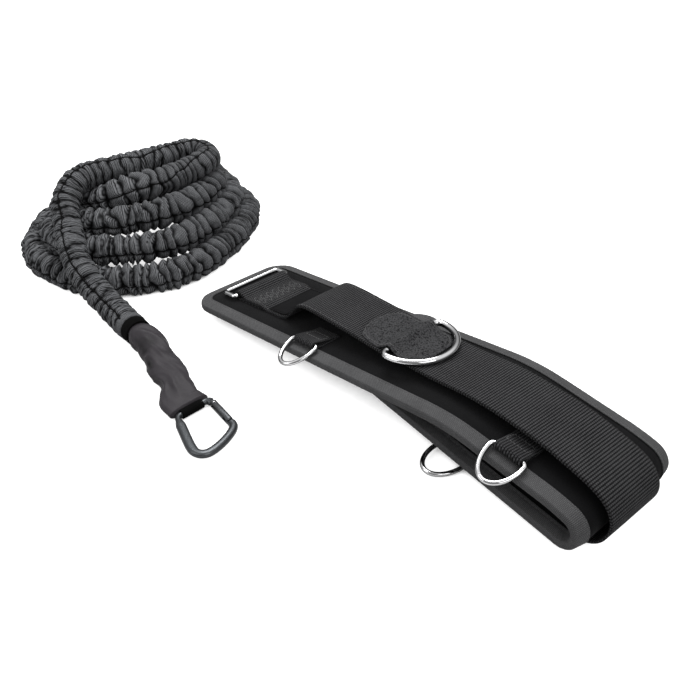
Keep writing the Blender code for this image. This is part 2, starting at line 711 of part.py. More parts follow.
def box_outline(span, depth, corner):
    # Closed rounded rectangle with one long side on x = 0
    half = span / 2
    points = []
    for cx, cy, start in ((depth - corner, half - corner, 0.0), (corner, half - corner, 90.0),
                          (corner, -half + corner, 180.0), (depth - corner, -half + corner, 270.0)):
        for a in np.linspace(start, start + 90.0, 5):
            turn = math.radians(a)
            points.append((cx + corner * math.cos(turn), cy + corner * math.sin(turn)))
    return points


def wire_ring(name, outline, wire, frame, finish, sides=10):
    # A closed wire along a plane outline; frame puts its bar on the joint's axis
    count = len(outline)
    rings = []
    for i, (x, y) in enumerate(outline):
        before, after = outline[i - 1], outline[(i + 1) % count]
        dx, dy = after[0] - before[0], after[1] - before[1]
        size = math.hypot(dx, dy)
        out = Vector((dy / size, -dx / size, 0.0))
        ring = []
        for k in range(sides):
            turn = 2 * math.pi * k / sides
            aside = math.cos(turn) * out + math.sin(turn) * Vector((0.0, 0.0, 1.0))
            ring.append(Vector((x, y, 0.0)) + wire / 2 * aside)
        rings.append(ring)
    bm = loft(rings, closed=True)
    piece = mesh_object(name, bm, finish)
    piece.matrix_world = frame
    return smooth(piece)


def make_buckle_ring(finish):
    bar_s, bar_h = buckle_bar()
    bar = belt_point(bar_s, STRAP_CENTRE, bar_h)
    tilt = Matrix.Rotation(-RISE_ANGLE, 4, "Y")
    flip = Matrix.Rotation(math.pi, 4, "Z")
    frame = Matrix.Translation(bar) @ tilt @ flip
    return wire_ring("buckle_ring", box_outline(BUCKLE_SPAN, BUCKLE_DEPTH, BUCKLE_CORNER),
                     BUCKLE_WIRE, frame, finish)


def make_large_ring(top, finish):
    # Its bow rests on the strap beyond the patch
    bar = large_bar(top)
    outer = LARGE_DEPTH + LARGE_WIRE / 2
    need = -outer
    for share in (0.80, 0.9, 1.0):
        spot = on_strap(top, bar.x + outer * share, SEAT_GAP + LARGE_WIRE / 2)[1]
        need = max(need, (spot - bar.z) / share)
    tilt = math.asin(need / outer)
    frame = Matrix.Translation(bar) @ Matrix.Rotation(-tilt, 4, "Y")
    return wire_ring("large_d_ring", d_outline(LARGE_SPAN, LARGE_DEPTH, LARGE_CORNER),
                     LARGE_WIRE, frame, finish)


def ring_bar_height():
    below = SEAT_GAP * 3 + BINDING_THICKNESS + TAB_THICKNESS
    return rim_drop(BINDING_WIDTH) + below + SMALL_WIRE / 2


def make_tab(index, finish):
    # Webbing folded round the ring's bar, both ends sewn down further in
    place = RING_PLACES[index]
    bar_h = ring_bar_height()
    radius = SMALL_WIRE / 2 + SEAT_GAP + TAB_THICKNESS / 2
    lie = SEAT_GAP + TAB_THICKNESS / 2
    low = bar_h - radius
    route = [(RING_BAR_INSET + TAB_REACH, lie), (RING_BAR_INSET + TAB_REACH * 0.6, lie),
             (BINDING_WIDTH + TAB_THICKNESS * 3, lie), (BINDING_WIDTH + TAB_THICKNESS, low)]
    for a in np.linspace(-90.0, -270.0, 9):
        turn = math.radians(a)
        route.append((RING_BAR_INSET + radius * math.cos(turn), bar_h + radius * math.sin(turn)))
    over = lie + TAB_THICKNESS + SEAT_GAP
    route += [(RING_BAR_INSET + TAB_REACH * 0.35, over + TAB_THICKNESS * 0.5),
              (RING_BAR_INSET + TAB_REACH * 0.6, over), (RING_BAR_INSET + TAB_REACH * 0.95, over)]
    fine = curve_through(route, 6)
    path = fine[thin_out(fine, math.radians(16), 0.02)]
    gradient = np.gradient(path[:, 0]), np.gradient(path[:, 1])
    rings = []
    ends = place - TAB_WIDTH / 2, place + TAB_WIDTH / 2
    for (w, h), dw, dh in zip(path, *gradient):
        size = math.hypot(dw, dh)
        ow, oh = -dh / size * TAB_THICKNESS / 2, dw / size * TAB_THICKNESS / 2
        rings.append([belt_point(ends[0], w + ow, h + oh), belt_point(ends[1], w + ow, h + oh),
                      belt_point(ends[1], w - ow, h - oh), belt_point(ends[0], w - ow, h - oh)])
    return mesh_object("d_ring_tab_%d" % (index + 1), loft(rings), finish)


def ring_frame(index):
    # x runs out past the pad's edge, y along the bar, tilted down over the rim
    place = RING_PLACES[index]
    bar_h = ring_bar_height()
    origin = belt_point(place, RING_BAR_INSET, bar_h)
    along = (belt_point(place + TAB_WIDTH / 2, RING_BAR_INSET, bar_h)
             - belt_point(place - TAB_WIDTH / 2, RING_BAR_INSET, bar_h)).normalized()
    up = (belt_point(place, RING_BAR_INSET, bar_h + TAB_WIDTH) - origin).normalized()
    out = along.cross(up).normalized()
    up = out.cross(along)
    basis = Matrix((out, along, up)).transposed().to_4x4()
    if basis.determinant() < 0:
        basis = Matrix((out, -along, up)).transposed().to_4x4()
    return Matrix.Translation(origin) @ basis @ Matrix.Rotation(RING_TILTS[index], 4, "Y")


def make_small_ring(index, finish):
    return wire_ring("small_d_ring_%d" % (index + 1), d_outline(SMALL_SPAN, SMALL_DEPTH, SMALL_CORNER),
                     SMALL_WIRE, ring_frame(index), finish, sides=8)


def coil_point(angle):
    # Each level of the pile is a smaller oval, reached by a climb at its back
    loops = math.floor((angle - CLIMB_TO + 360.0) / 360.0)
    inside = angle - loops * 360.0
    level = max(0.0, loops + ease((inside - CLIMB_FROM) / (CLIMB_TO - CLIMB_FROM)))
    levels = range(len(LONG_RADII))
    long_radius = np.interp(level, levels, LONG_RADII)
    short_radius = np.interp(level, levels, SHORT_RADII)
    shift = np.interp(level, levels, CENTRE_SHIFTS)
    around = angle % 360.0
    slump = ease((around - SLUMP_FROM[0]) / (SLUMP_FROM[1] - SLUMP_FROM[0]))
    slump *= 1 - ease((around - SLUMP_TO[0]) / (SLUMP_TO[1] - SLUMP_TO[0]))
    height = np.interp(level, levels, LEVEL_HEIGHTS) * (1 - slump)
    height += np.interp(level, levels, SLUMPED_HEIGHTS) * slump
    lean = 0.0
    if LEAN_FROM < around < LEAN_TO:
        lean = math.sin(math.pi * (around - LEAN_FROM) / (LEAN_TO - LEAN_FROM)) ** 2
    turn = math.radians(angle)
    if math.cos(turn) < 0:
        long_radius *= np.interp(level, levels, LEFT_SHARES)
    return (
        PILE_X - short_radius * math.sin(turn) - np.interp(level, levels, LEANS) * lean,
        PILE_Y + shift + long_radius * math.cos(turn),
        RIB_CREST + FLOOR_LIFT + height,
    )


def cord_route():
    # The whole route as one fine line, and the length along it where the coil ends
    last = END_ANGLE + 360.0 * (len(LONG_RADII) - 1)
    count = int((last - START_ANGLE) / ANGLE_STEP) + 1
    loops = [coil_point(a) for a in np.linspace(START_ANGLE, last, count)]
    coil = np.array(list(FAR_ROUTE) + loops)
    coil = curve_through(coil, 4)
    heading = coil[-1] - coil[-2]
    heading /= np.linalg.norm(heading)
    joint = coil[-1]
    lead = curve_through([joint, joint + heading * RIB_PITCH] + list(LEAD_ROUTE), 12)
    whole = np.vstack([coil, lead[1:]])
    return whole, float(lengths_along(coil)[-1])


def ribbed_points(route, start, end, crest, valley):
    # Two points a rib, crest and valley by turns, and a plain run at both ends
    ribs = int((end - start) / RIB_PITCH)
    places = np.linspace(start, end, 2 * ribs + 1)
    points = at_lengths(route, places)
    radii = [crest if i % 2 else valley for i in range(len(points))]
    return points, radii


def cord_tube(name, points, radii, finish):
    curve = bpy.data.curves.new(name, "CURVE")
    curve.dimensions = "3D"
    curve.bevel_depth = RIB_CREST
    curve.bevel_resolution = (CORD_SIDES_COUNT - 4) // 2
    curve.use_fill_caps = True
    spline = curve.splines.new("POLY")
    spline.points.add(len(points) - 1)
    for spot, place, radius in zip(spline.points, points, radii):
        spot.co = (*place, 1.0)
        spot.radius = radius / RIB_CREST
    curve.materials.append(finish)
    made = bpy.data.objects.new(name, curve)
    bpy.context.collection.objects.link(made)
    return made


def least_gap(points, crest):
    # Clear distance between parts of the route that aren't neighbours
    along = lengths_along(points)
    apart = np.linalg.norm(points[:, None] - points[None], axis=2)
    near_by = np.abs(along[:, None] - along[None]) < 4.4 * crest
    apart[near_by] = np.inf
    return float(apart.min()) - 2 * crest


def make_cord(finish):
    route, joint = cord_route()
    total = float(lengths_along(route)[-1])
    fine = at_lengths(route, np.arange(0.0, total, FINE_CORD_STEP))
    print("least gap of the cord to itself: %.2f mm" % (least_gap(fine, RIB_CREST) * 1000))
    print("length of the cord: %.0f mm" % (total * 1000))
    points, radii = ribbed_points(route, 0.0, joint - END_GAP / 2, RIB_CREST, RIB_VALLEY)
    cord_tube("cord_coil", points, radii, finish)
    points, radii = ribbed_points(route, joint + END_GAP / 2, total, LEAD_CREST, LEAD_VALLEY)
    cord_tube("cord_lead", points, radii, finish)


def axes_along(heading):
    # Sideways and upward directions of a level line
    side = Vector((-heading.y, heading.x, 0.0)).normalized()
    return side, heading.cross(side)


def tube_rings(centres, headings, sizes, sides, squareness=0.0):
    rings = []
    for centre, heading, (width, height) in zip(centres, headings, sizes):
        side, up = axes_along(heading)
        ring = []
        for k in range(sides):
            turn = 2 * math.pi * (k + 0.5) / sides
            c, s = math.cos(turn), math.sin(turn)
            grow = 1 + squareness * math.sin(2 * turn) ** 2
            ring.append(centre + side * (width / 2 * c * grow) + up * (height / 2 * s * grow))
        rings.append(ring)
    return rings


def make_hem(name, mouth, heading, finish):
    # Short band of tape round the sleeve's end
    centres, sizes = [], []
    start, end = mouth, mouth + heading * HEM_LENGTH
    inner = HEM_INNER
    outer = HEM_OUTER
    side_edge = (HEM_OUTER - HEM_INNER) / 4
    for centre, size in (
        (start, inner), (end, inner), (end, outer - side_edge), (end - heading * side_edge, outer),
        (start + heading * side_edge, outer), (start, outer - side_edge),
    ):
        centres.append(centre)
        sizes.append((size, size))
    rings = tube_rings(centres, [heading] * len(centres), sizes, 20)
    return smooth(mesh_object(name, loft(rings, closed=True), finish))


def boolean_cut(piece, cutter):
    cutter.hide_render = True
    cutter.display_type = "WIRE"
    cut = piece.modifiers.new(cutter.name, "BOOLEAN")
    cut.operation = "DIFFERENCE"
    cut.solver = "EXACT"
    cut.object = cutter


def box_cutter(name, centre, heading, length, width, height, finish):
    side, up = axes_along(heading)
    bm = bmesh.new()
    bmesh.ops.create_cube(bm, size=1.0)
    basis = Matrix((heading * length, side * width, up * height)).transposed()
    for vert in bm.verts:
        vert.co = basis @ vert.co + centre
    return mesh_object(name, bm, finish)


def make_wrap(prefix, mouth, heading, plan, finish):
    # Cloth wrap: round in the hem, gathered twice, then flat at the carabiner
    route = curve_through([(x, y, 0.0) for x, y in plan], 12)
    length = float(lengths_along(route)[-1])
    places = [min(d + WRAP_INSET, length) for d, _, _ in WRAP_SIZES]
    places[-1] = length
    points = at_lengths(route, places)
    ahead = at_lengths(route, [min(d + STEP_LENGTH, length) for d in places])
    behind = at_lengths(route, [max(d - STEP_LENGTH, 0.0) for d in places])
    centres, headings, sizes = [], [], []
    for point, a, b, (away, width, height) in zip(points, ahead, behind, WRAP_SIZES):
        rest = height / 2 + FLOOR_LIFT
        share = ease((away - HEM_LENGTH) / (HEM_LENGTH * 2))
        centre_z = max(rest, mouth.z * (1 - share) + rest * share)
        centres.append(Vector((point[0], point[1], centre_z)))
        headings.append(Vector(a - b).normalized())
        sizes.append((width, height))
    rings = tube_rings(centres, headings, sizes, WRAP_SIDES, WRAP_SQUARE_SHARE)
    wrap = smooth(mesh_object(prefix + "_end_wrap", loft(rings), finish), math.radians(60))
    end, end_heading = centres[-1], headings[-1]
    cutter = box_cutter(prefix + "_wrap_slot", end, end_heading, 2 * HOLD_DEPTH,
                        HOLD_WIDTH + 2 * HOLD_CLEARANCE, HOLD_SLOT_HEIGHT, finish)
    boolean_cut(wrap, cutter)
    return end, end_heading


def make_hold(prefix, base, heading, finish):
    # Webbing loop round the carabiner's base bar, its ends inside the wrap
    side, up = axes_along(heading)
    radius = BASE_ROD / 2 + HOLD_CLEARANCE + HOLD_THICKNESS / 2
    lie = (HOLD_THICKNESS + SEAT_GAP) / 2
    tail = HOLD_DEPTH + BASE_AHEAD - STEP_LENGTH
    level = base.z
    neck = -radius * NECK_REACH_SHARE, lie * NECK_SPREAD_SHARE
    flat = [(-tail, -lie), (-tail * NECK_TAIL_SHARE, -lie), (neck[0], -neck[1])]
    for a in np.linspace(-120.0, 120.0, 11):
        turn = math.radians(a)
        flat.append((radius * math.cos(turn), radius * math.sin(turn)))
    flat += [neck, (-tail * NECK_TAIL_SHARE, lie), (-tail, lie)]
    fine = curve_through(flat, 6)
    kept = thin_out(fine, math.radians(14), 0.012)
    near, far_side = [], []
    for i in kept:
        spot = Vector((base.x, base.y, level)) + heading * float(fine[i][0]) + up * float(fine[i][1])
        near.append(spot - side * HOLD_WIDTH / 2)
        far_side.append(spot + side * HOLD_WIDTH / 2)
    return ribbon(prefix + "_clip_loop", near, far_side, HOLD_THICKNESS, finish)


def clip_section(place, total):
    # Width and height of the carabiner's bar at a place along it
    from_end = total - place
    if place < TONGUE_LENGTH or from_end < TONGUE_LENGTH:
        return TONGUE_WIDTH, TONGUE_THICKNESS
    base_from = TONGUE_LENGTH + GATE_ROD
    base_to = base_from + 2 * GATE_HINGE[1] - GATE_ROD / 2
    spine_to = base_to + SPINE_RUN
    places = (TONGUE_LENGTH, base_from, base_to, base_to + GATE_ROD, spine_to, spine_to + GATE_ROD, total)
    widths = (GATE_ROD, BASE_ROD, BASE_ROD, SPINE_WIDTH, SPINE_WIDTH, NOSE_WIDTH, GATE_ROD)
    heights = (GATE_ROD, BASE_ROD, BASE_ROD, SPINE_HEIGHT, SPINE_HEIGHT, SPINE_HEIGHT, GATE_ROD)
    return float(np.interp(place, places, widths)), float(np.interp(place, places, heights))


def to_plan(base, heading, u, v, z=0.0):
    side, up = axes_along(heading)
    return base + heading * u + side * v + up * z


def pin_hole(name, spot, diameter, height, finish):
    bm = bmesh.new()
    bmesh.ops.create_cone(bm, cap_ends=True, segments=12, radius1=diameter / 2, radius2=diameter / 2,
                          depth=height, matrix=Matrix.Translation(spot))
    return mesh_object(name, bm, finish)


def make_clip(prefix, base, heading, finish, pin_finish):
    # Body: one bar from the hinge's tongue round the base, the spine and the nose
    fine = curve_through([(u, v, 0.0) for u, v in CLIP_ROUTE], 8)
    total = float(lengths_along(fine)[-1])
    step = STEP_LENGTH / 4
    kept = [float(lengths_along(fine)[i]) for i in thin_out(fine, math.radians(12), 0.012)]
    edges = [root + side for root in (TONGUE_LENGTH, total - TONGUE_LENGTH) for side in (-step, step)]
    places = sorted(set([p for p in kept if all(abs(p - e) > STEP_LENGTH for e in edges)] + edges))
    points = at_lengths(fine, places)
    ahead = at_lengths(fine, [min(p + STEP_LENGTH, total) for p in places])
    behind = at_lengths(fine, [max(p - STEP_LENGTH, 0.0) for p in places])
    centres, headings, sizes = [], [], []
    for point, a, b, place in zip(points, ahead, behind, places):
        centres.append(to_plan(base, heading, point[0], point[1]))
        headings.append((to_plan(base, heading, a[0], a[1]) - to_plan(base, heading, b[0], b[1])).normalized())
        sizes.append(clip_section(place, total))
    rings = tube_rings(centres, headings, sizes, 10)
    body = mesh_object(prefix + "_carabiner_body", loft(rings), finish, base)
    smooth(body)
    hinge = to_plan(base, heading, *GATE_HINGE)
    meet = to_plan(base, heading, *GATE_MEET)
    hole = pin_hole(prefix + "_tongue_hole", hinge, GATE_PIN + 2 * PIN_CLEARANCE, 2 * GATE_ROD, finish)
    boolean_cut(body, hole)
    # Gate: a round rod with a slot at each end over the body's tongues
    along = (meet - hinge).normalized()
    length = (meet - hinge).length
    places = (-GATE_END, -GATE_END + STEP_LENGTH, length + GATE_END - STEP_LENGTH, length + GATE_END)
    ends = (GATE_ROD - 2 * STEP_LENGTH, GATE_ROD, GATE_ROD, GATE_ROD - 2 * STEP_LENGTH)
    rings = tube_rings([hinge + along * p for p in places], [along] * len(places), [(d, d) for d in ends], 12)
    gate = mesh_object(prefix + "_carabiner_gate", loft(rings), finish, hinge)
    smooth(gate)
    for part, centre in (("hinge", hinge - along * GATE_END), ("nose", meet + along * GATE_END)):
        slot = box_cutter("%s_gate_%s_slot" % (prefix, part), centre, along, 2 * GATE_SLOT_DEPTH,
                          2 * GATE_ROD, GATE_SLOT_HEIGHT, finish)
        boolean_cut(gate, slot)
    hole = pin_hole(prefix + "_gate_hole", hinge, GATE_PIN + 2 * PIN_CLEARANCE, 2 * GATE_ROD, finish)
    boolean_cut(gate, hole)
    bm = bmesh.new()
    bmesh.ops.create_cone(bm, cap_ends=True, segments=12, radius1=GATE_PIN / 2, radius2=GATE_PIN / 2,
                          depth=GATE_ROD - STEP_LENGTH / 2, matrix=Matrix.Translation(hinge))
    pin = mesh_object(prefix + "_gate_pin", bm, pin_finish, hinge)
    smooth(pin)


def make_end(prefix, mouth, plan, finishes):
    heading = Vector((plan[1][0] - plan[0][0], plan[1][1] - plan[0][1], 0.0)).normalized()
    start = mouth + heading * END_GAP
    make_hem(prefix + "_sleeve_hem", start, heading, finishes["hem"])
    end, end_heading = make_wrap(prefix, start, heading, plan, finishes["wrap"])
    base = Vector((end.x, end.y, CLIP_HEIGHT)) + end_heading * BASE_AHEAD
    make_hold(prefix, base, end_heading, finishes["webbing"])
    make_clip(prefix, base, end_heading, finishes["gunmetal"], finishes["steel"])


def settle(belt_names):
    # Bring the middle of the belt's footprint over the origin, everything else with it
    bpy.context.view_layer.update()
    spots = []
    for name in belt_names:
        piece = bpy.data.objects[name]
        spots += [piece.matrix_world @ vert.co for vert in piece.data.vertices]
    spots = np.array(spots)
    low, high = spots.min(axis=0), spots.max(axis=0)
    shift = Vector(((low[0] + high[0]) / 2, (low[1] + high[1]) / 2, low[2]))
    print("origin moved by %.2f %.2f %.2f mm" % tuple(1000 * c for c in shift))
    for piece in bpy.data.objects:
        piece.location -= shift


def main():
    clear_scene()
    finishes = {
        "cover": material("cover_fabric", (0.030, 0.030, 0.032), 0.95),
        "foam": material("foam", (0.10, 0.10, 0.10), 0.9),
        "lining": material("lining_fabric", (0.040, 0.040, 0.042), 0.85),
        "binding": material("binding_tape", (0.16, 0.16, 0.17), 0.8),
        "webbing": material("webbing", (0.045, 0.045, 0.047), 0.75),
        "patch": material("patch_fabric", (0.040, 0.040, 0.042), 0.95),
        "hook": material("hook_tape", (0.020, 0.020, 0.021), 0.7),
        "label": material("label_cloth", (0.015, 0.015, 0.016), 0.6),
        "chrome": material("chrome_wire", (0.80, 0.80, 0.82), 0.15, 1.0),
        "sleeve": material("sleeve_fabric", (0.060, 0.062, 0.066), 0.8),
        "hem": material("hem_tape", (0.008, 0.008, 0.008), 0.8),
        "wrap": material("wrap_cloth", (0.10, 0.092, 0.10), 0.6),
        "gunmetal": material("gunmetal", (0.12, 0.13, 0.14), 0.35, 1.0),
        "steel": material("pin_steel", (0.55, 0.55, 0.56), 0.3, 1.0),
    }
    make_pad(finishes)
    make_binding(finishes["binding"])
    lines = strap_lines()
    make_strap(lines, finishes["webbing"])
    top = strap_top(lines)
    make_hook_panel(lines, finishes["hook"])
    make_label(top, finishes["label"])
    make_ring_patch(top, finishes["patch"])
    make_buckle_ring(finishes["chrome"])
    make_large_ring(top, finishes["chrome"])
    for index in range(len(RING_PLACES)):
        make_tab(index, finishes["webbing"])
        make_small_ring(index, finishes["chrome"])
    belt_names = [piece.name for piece in bpy.data.objects]
    make_cord(finishes["sleeve"])
    for prefix, mouth, plan in (
        ("near", LEAD_ROUTE[-1], NEAR_WRAP_ROUTE), ("far", FAR_ROUTE[0], FAR_WRAP_ROUTE),
    ):
        make_end(prefix, Vector(mouth), plan, finishes)
    settle(belt_names)


main()
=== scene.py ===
import json
import math

import bmesh
import bpy
import numpy as np
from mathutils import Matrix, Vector, noise
from mathutils.bvhtree import BVHTree


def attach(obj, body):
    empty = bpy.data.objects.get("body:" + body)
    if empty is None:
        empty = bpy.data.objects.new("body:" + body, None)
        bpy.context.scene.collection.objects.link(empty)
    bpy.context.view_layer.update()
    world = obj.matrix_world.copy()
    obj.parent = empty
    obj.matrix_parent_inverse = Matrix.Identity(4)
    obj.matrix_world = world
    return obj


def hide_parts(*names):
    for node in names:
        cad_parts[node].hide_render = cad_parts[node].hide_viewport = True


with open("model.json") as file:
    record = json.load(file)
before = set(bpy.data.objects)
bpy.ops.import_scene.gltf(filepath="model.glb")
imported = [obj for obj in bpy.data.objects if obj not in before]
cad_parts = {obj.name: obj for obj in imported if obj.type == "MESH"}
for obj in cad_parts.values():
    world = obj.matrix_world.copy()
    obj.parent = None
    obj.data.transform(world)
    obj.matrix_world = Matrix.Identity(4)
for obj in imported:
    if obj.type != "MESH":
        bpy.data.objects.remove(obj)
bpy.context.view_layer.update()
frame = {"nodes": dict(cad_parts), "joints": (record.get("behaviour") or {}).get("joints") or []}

rootBody = "belt_and_cord"
joints = {joint["name"]: joint for joint in frame["joints"]}


# Curves and small sums on arrays of points

def ease(share):
    held = np.clip(share, 0.0, 1.0)
    return held * held * (3 - 2 * held)


def rise(value, span):
    # Soft share of the way from the first place of the span to its second
    return ease((value - span[0]) / (span[1] - span[0]))


def unit(vectors):
    return vectors / np.linalg.norm(vectors, axis=-1, keepdims=True)


def curveThrough(points, perSpan):
    # Centripetal Catmull-Rom curve, the same one that the part's own route follows
    pts = [np.array(p, dtype=float) for p in points]
    pts = [2 * pts[0] - pts[1]] + pts + [2 * pts[-1] - pts[-2]]
    out = []
    for a, b, c, d in zip(pts, pts[1:], pts[2:], pts[3:]):
        t1 = math.sqrt(np.linalg.norm(b - a))
        t2 = t1 + math.sqrt(np.linalg.norm(c - b))
        t3 = t2 + math.sqrt(np.linalg.norm(d - c))
        for t in np.linspace(t1, t2, perSpan, endpoint=False):
            ab = ((t1 - t) * a + t * b) / t1
            bc = ((t2 - t) * b + (t - t1) * c) / (t2 - t1)
            cd = ((t3 - t) * c + (t - t2) * d) / (t3 - t2)
            abc = ((t2 - t) * ab + t * bc) / t2
            bcd = ((t3 - t) * bc + (t - t1) * cd) / (t3 - t1)
            out.append(((t2 - t) * abc + (t - t1) * bcd) / (t2 - t1))
    out.append(pts[-2])
    return np.array(out)


def summed(steps):
    return np.concatenate(([0.0], np.cumsum(steps)))


def lengthsAlong(points):
    return summed(np.linalg.norm(np.diff(points, axis=0), axis=1))


def lengthOf(points):
    return float(lengthsAlong(points)[-1])


def keepAbove(points, floor):
    points[..., 2] = np.maximum(points[..., 2], floor)


def atLengths(points, wanted):
    along = lengthsAlong(points)
    return np.column_stack([np.interp(wanted, along, points[:, k]) for k in range(points.shape[1])])


def fullTurn(count):
    return np.linspace(0.0, 2 * math.pi, count, endpoint=False)


def roundLine(angles, right, up):
    # Directions away from each point of a line, at angles round it
    return np.cos(angles)[..., None] * right[:, None] + np.sin(angles)[..., None] * up[:, None]


# Meshes

def addObject(name, data):
    made = bpy.data.objects.new(name, data)
    bpy.context.scene.collection.objects.link(made)
    return made


def finishMesh(name, verts, faces, finish, cornerUv=None):
    mesh = bpy.data.meshes.new(name)
    mesh.from_pydata(verts.tolist(), [], faces)
    if cornerUv is not None:
        layer = mesh.uv_layers.new(name="cloth")
        layer.data.foreach_set("uv", np.asarray(cornerUv, dtype=np.float32).ravel())
    mesh.polygons.foreach_set("use_smooth", [True] * len(mesh.polygons))
    mesh.materials.append(finish)
    mesh.update()
    return addObject(name, mesh)


def gridPiece(name, points, finish, uv=None, closedRows=False):
    # Quads over a grid of points. Rows run along the piece and columns round it, and open ends are capped
    rows, columns = points.shape[:2]
    i, j = np.meshgrid(np.arange(rows if closedRows else rows - 1), np.arange(columns), indexing="ij")
    corners = ((i, j), (i, j + 1), (i + 1, j + 1), (i + 1, j))
    quads = np.stack([(a % rows) * columns + b % columns for a, b in corners], axis=-1).reshape(-1, 4)
    verts = points.reshape(-1, 3)
    a, b, c, d = (verts[quads[:, k]] for k in range(4))
    volume = np.einsum("ij,ij->i", a, np.cross(b, c)).sum() + np.einsum("ij,ij->i", a, np.cross(c, d)).sum()
    faces = quads.tolist()
    cornerUv = None
    if uv is not None:
        cornerUv = np.stack([uv[a, b] for a, b in corners], axis=-2).reshape(-1, 4, 2)
    if not closedRows:
        first = list(range(columns))[::-1]
        last = list(range((rows - 1) * columns, rows * columns))
        faces += [first, last]
        if uv is not None:
            ends = [uv[0, 0]] * columns + [uv[-1, 0]] * columns
            cornerUv = np.concatenate([cornerUv.reshape(-1, 2), np.array(ends)])
    made = finishMesh(name, verts, faces, finish, cornerUv)
    if volume < 0:
        made.data.flip_normals()
    return made


def gridUv(rowPlaces, columnPlaces):
    u, v = np.meshgrid(rowPlaces, columnPlaces, indexing="ij")
    return np.stack([u, v], axis=-1)


def setCrown(piece, values):
    # How far each point stands out of the folds, from 0 to 1, for the material, which paints shade into the
    # folds where it is low
    layer = piece.data.attributes.new("crown", "FLOAT", "POINT")
    layer.data.foreach_set("value", np.clip(values, 0.0, 1.0).astype(np.float32).ravel())


def dress(made, body, slotName, *nodes):
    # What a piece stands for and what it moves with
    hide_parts(*nodes)
    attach(made, body)
    return made


solidCopy = {"weld": 1e-6, "flatFaces": 0.35, "flatShapes": 0.9, "crease": math.radians(34)}


def dressed(name, node, finish, body, slotName, rounding, levels=1):
    # A finer copy of a CAD node: welded, its edges eased, and shaded smooth
    mesh = frame["nodes"][node].data.copy()
    mesh.name = name
    bm = bmesh.new()
    bm.from_mesh(mesh)
    bmesh.ops.remove_doubles(bm, verts=bm.verts, dist=solidCopy["weld"])
    bmesh.ops.join_triangles(bm, faces=bm.faces, angle_face_threshold=solidCopy["flatFaces"],
                             angle_shape_threshold=solidCopy["flatShapes"])
    for face in bm.faces:
        face.smooth = True
    bm.to_mesh(mesh)
    bm.free()
    mesh.materials.clear()
    mesh.materials.append(finish)
    made = addObject(name, mesh)
    bevel = made.modifiers.new("rounding", "BEVEL")
    bevel.width = rounding
    bevel.segments = 2
    bevel.limit_method = "ANGLE"
    bevel.angle_limit = solidCopy["crease"]
    if levels:
        finer = made.modifiers.new("finer", "SUBSURF")
        finer.levels = levels
        finer.render_levels = levels
    return dress(made, body, slotName, node)


def treeOf(piece):
    seen = piece.evaluated_get(bpy.context.evaluated_depsgraph_get())
    mesh = seen.to_mesh()
    verts = [piece.matrix_world @ vert.co for vert in mesh.vertices]
    faces = [tuple(face.vertices) for face in mesh.polygons]
    seen.to_mesh_clear()
    return BVHTree.FromPolygons(verts, faces)


# Materials

def opaque(colour):
    return (*colour, 1.0)


def feed(tree, node, inputs):
    # Give a node's inputs their values or their links
    for name, value in inputs.items():
        if hasattr(value, "is_output"):
            tree.links.new(value, node.inputs[name])
        else:
            node.inputs[name].default_value = value


def addNode(tree, kind, inputs, **settings):
    node = tree.nodes.new("ShaderNode" + kind)
    for name, value in settings.items():
        setattr(node, name, value)
    feed(tree, node, inputs)
    return node


def calc(tree, operation, *values):
    return addNode(tree, "Math", dict(enumerate(values)), operation=operation).outputs[0]


def noiseField(tree, vector, scale, detail=3.0, roughness=0.6):
    inputs = {"Vector": vector, "Scale": scale, "Detail": detail, "Roughness": roughness}
    return addNode(tree, "TexNoise", inputs).outputs["Fac"]


def mixColours(tree, share, first, second, way="MIX"):
    inputs = {"Factor": share, "A": first, "B": second}
    return addNode(tree, "Mix", inputs, data_type="RGBA", blend_type=way).outputs["Result"]


def softRange(tree, value, start, end):
    inputs = {"Value": value, "From Min": start[0], "From Max": start[1], "To Min": end[0], "To Max": end[1]}
    return addNode(tree, "MapRange", inputs, interpolation_type="SMOOTHSTEP").outputs["Result"]


def wave(tree, place, pitch, shift=0.0):
    # From 0 to 1 and back in every pitch
    turned = calc(tree, "MULTIPLY_ADD", calc(tree, "DIVIDE", place, pitch), 2 * math.pi, shift)
    return calc(tree, "MULTIPLY_ADD", calc(tree, "SINE", turned), 0.5, 0.5)


def newMaterial(name):
    made = bpy.data.materials.new(name)
    made.use_nodes = True
    return made, made.node_tree, made.node_tree.nodes["Principled BSDF"]


def newGroup(name, inputs, outputs):
    # Inputs have their usual values, and the one without a value is a vector
    group = bpy.data.node_groups.new(name, "ShaderNodeTree")
    for label, value in inputs.items():
        kind = "NodeSocketVector" if value is None else "NodeSocketFloat"
        socket = group.interface.new_socket(name=label, in_out="INPUT", socket_type=kind)
        if value is not None:
            socket.default_value = value
    for label in outputs:
        group.interface.new_socket(name=label, in_out="OUTPUT", socket_type="NodeSocketFloat")
    return group, group.nodes.new("NodeGroupInput").outputs, group.nodes.new("NodeGroupOutput")


weave = {"driftScale": 180.0, "ribPower": 0.7, "grainScale": 420.0, "grain": (1.3, 0.35),
         "fibreScale": 2600.0, "fibre": 0.25, "relief": 0.9, "detail": 2.0}
fuzz = {"smoothness": 0.5, "roughness": 0.7, "tuft": 0.55, "fibre": 0.6}
wear = {"cloud": (220.0, 4.0), "marks": (1500.0, 5.0, 0.8), "edge": (6.0, -3.05)}


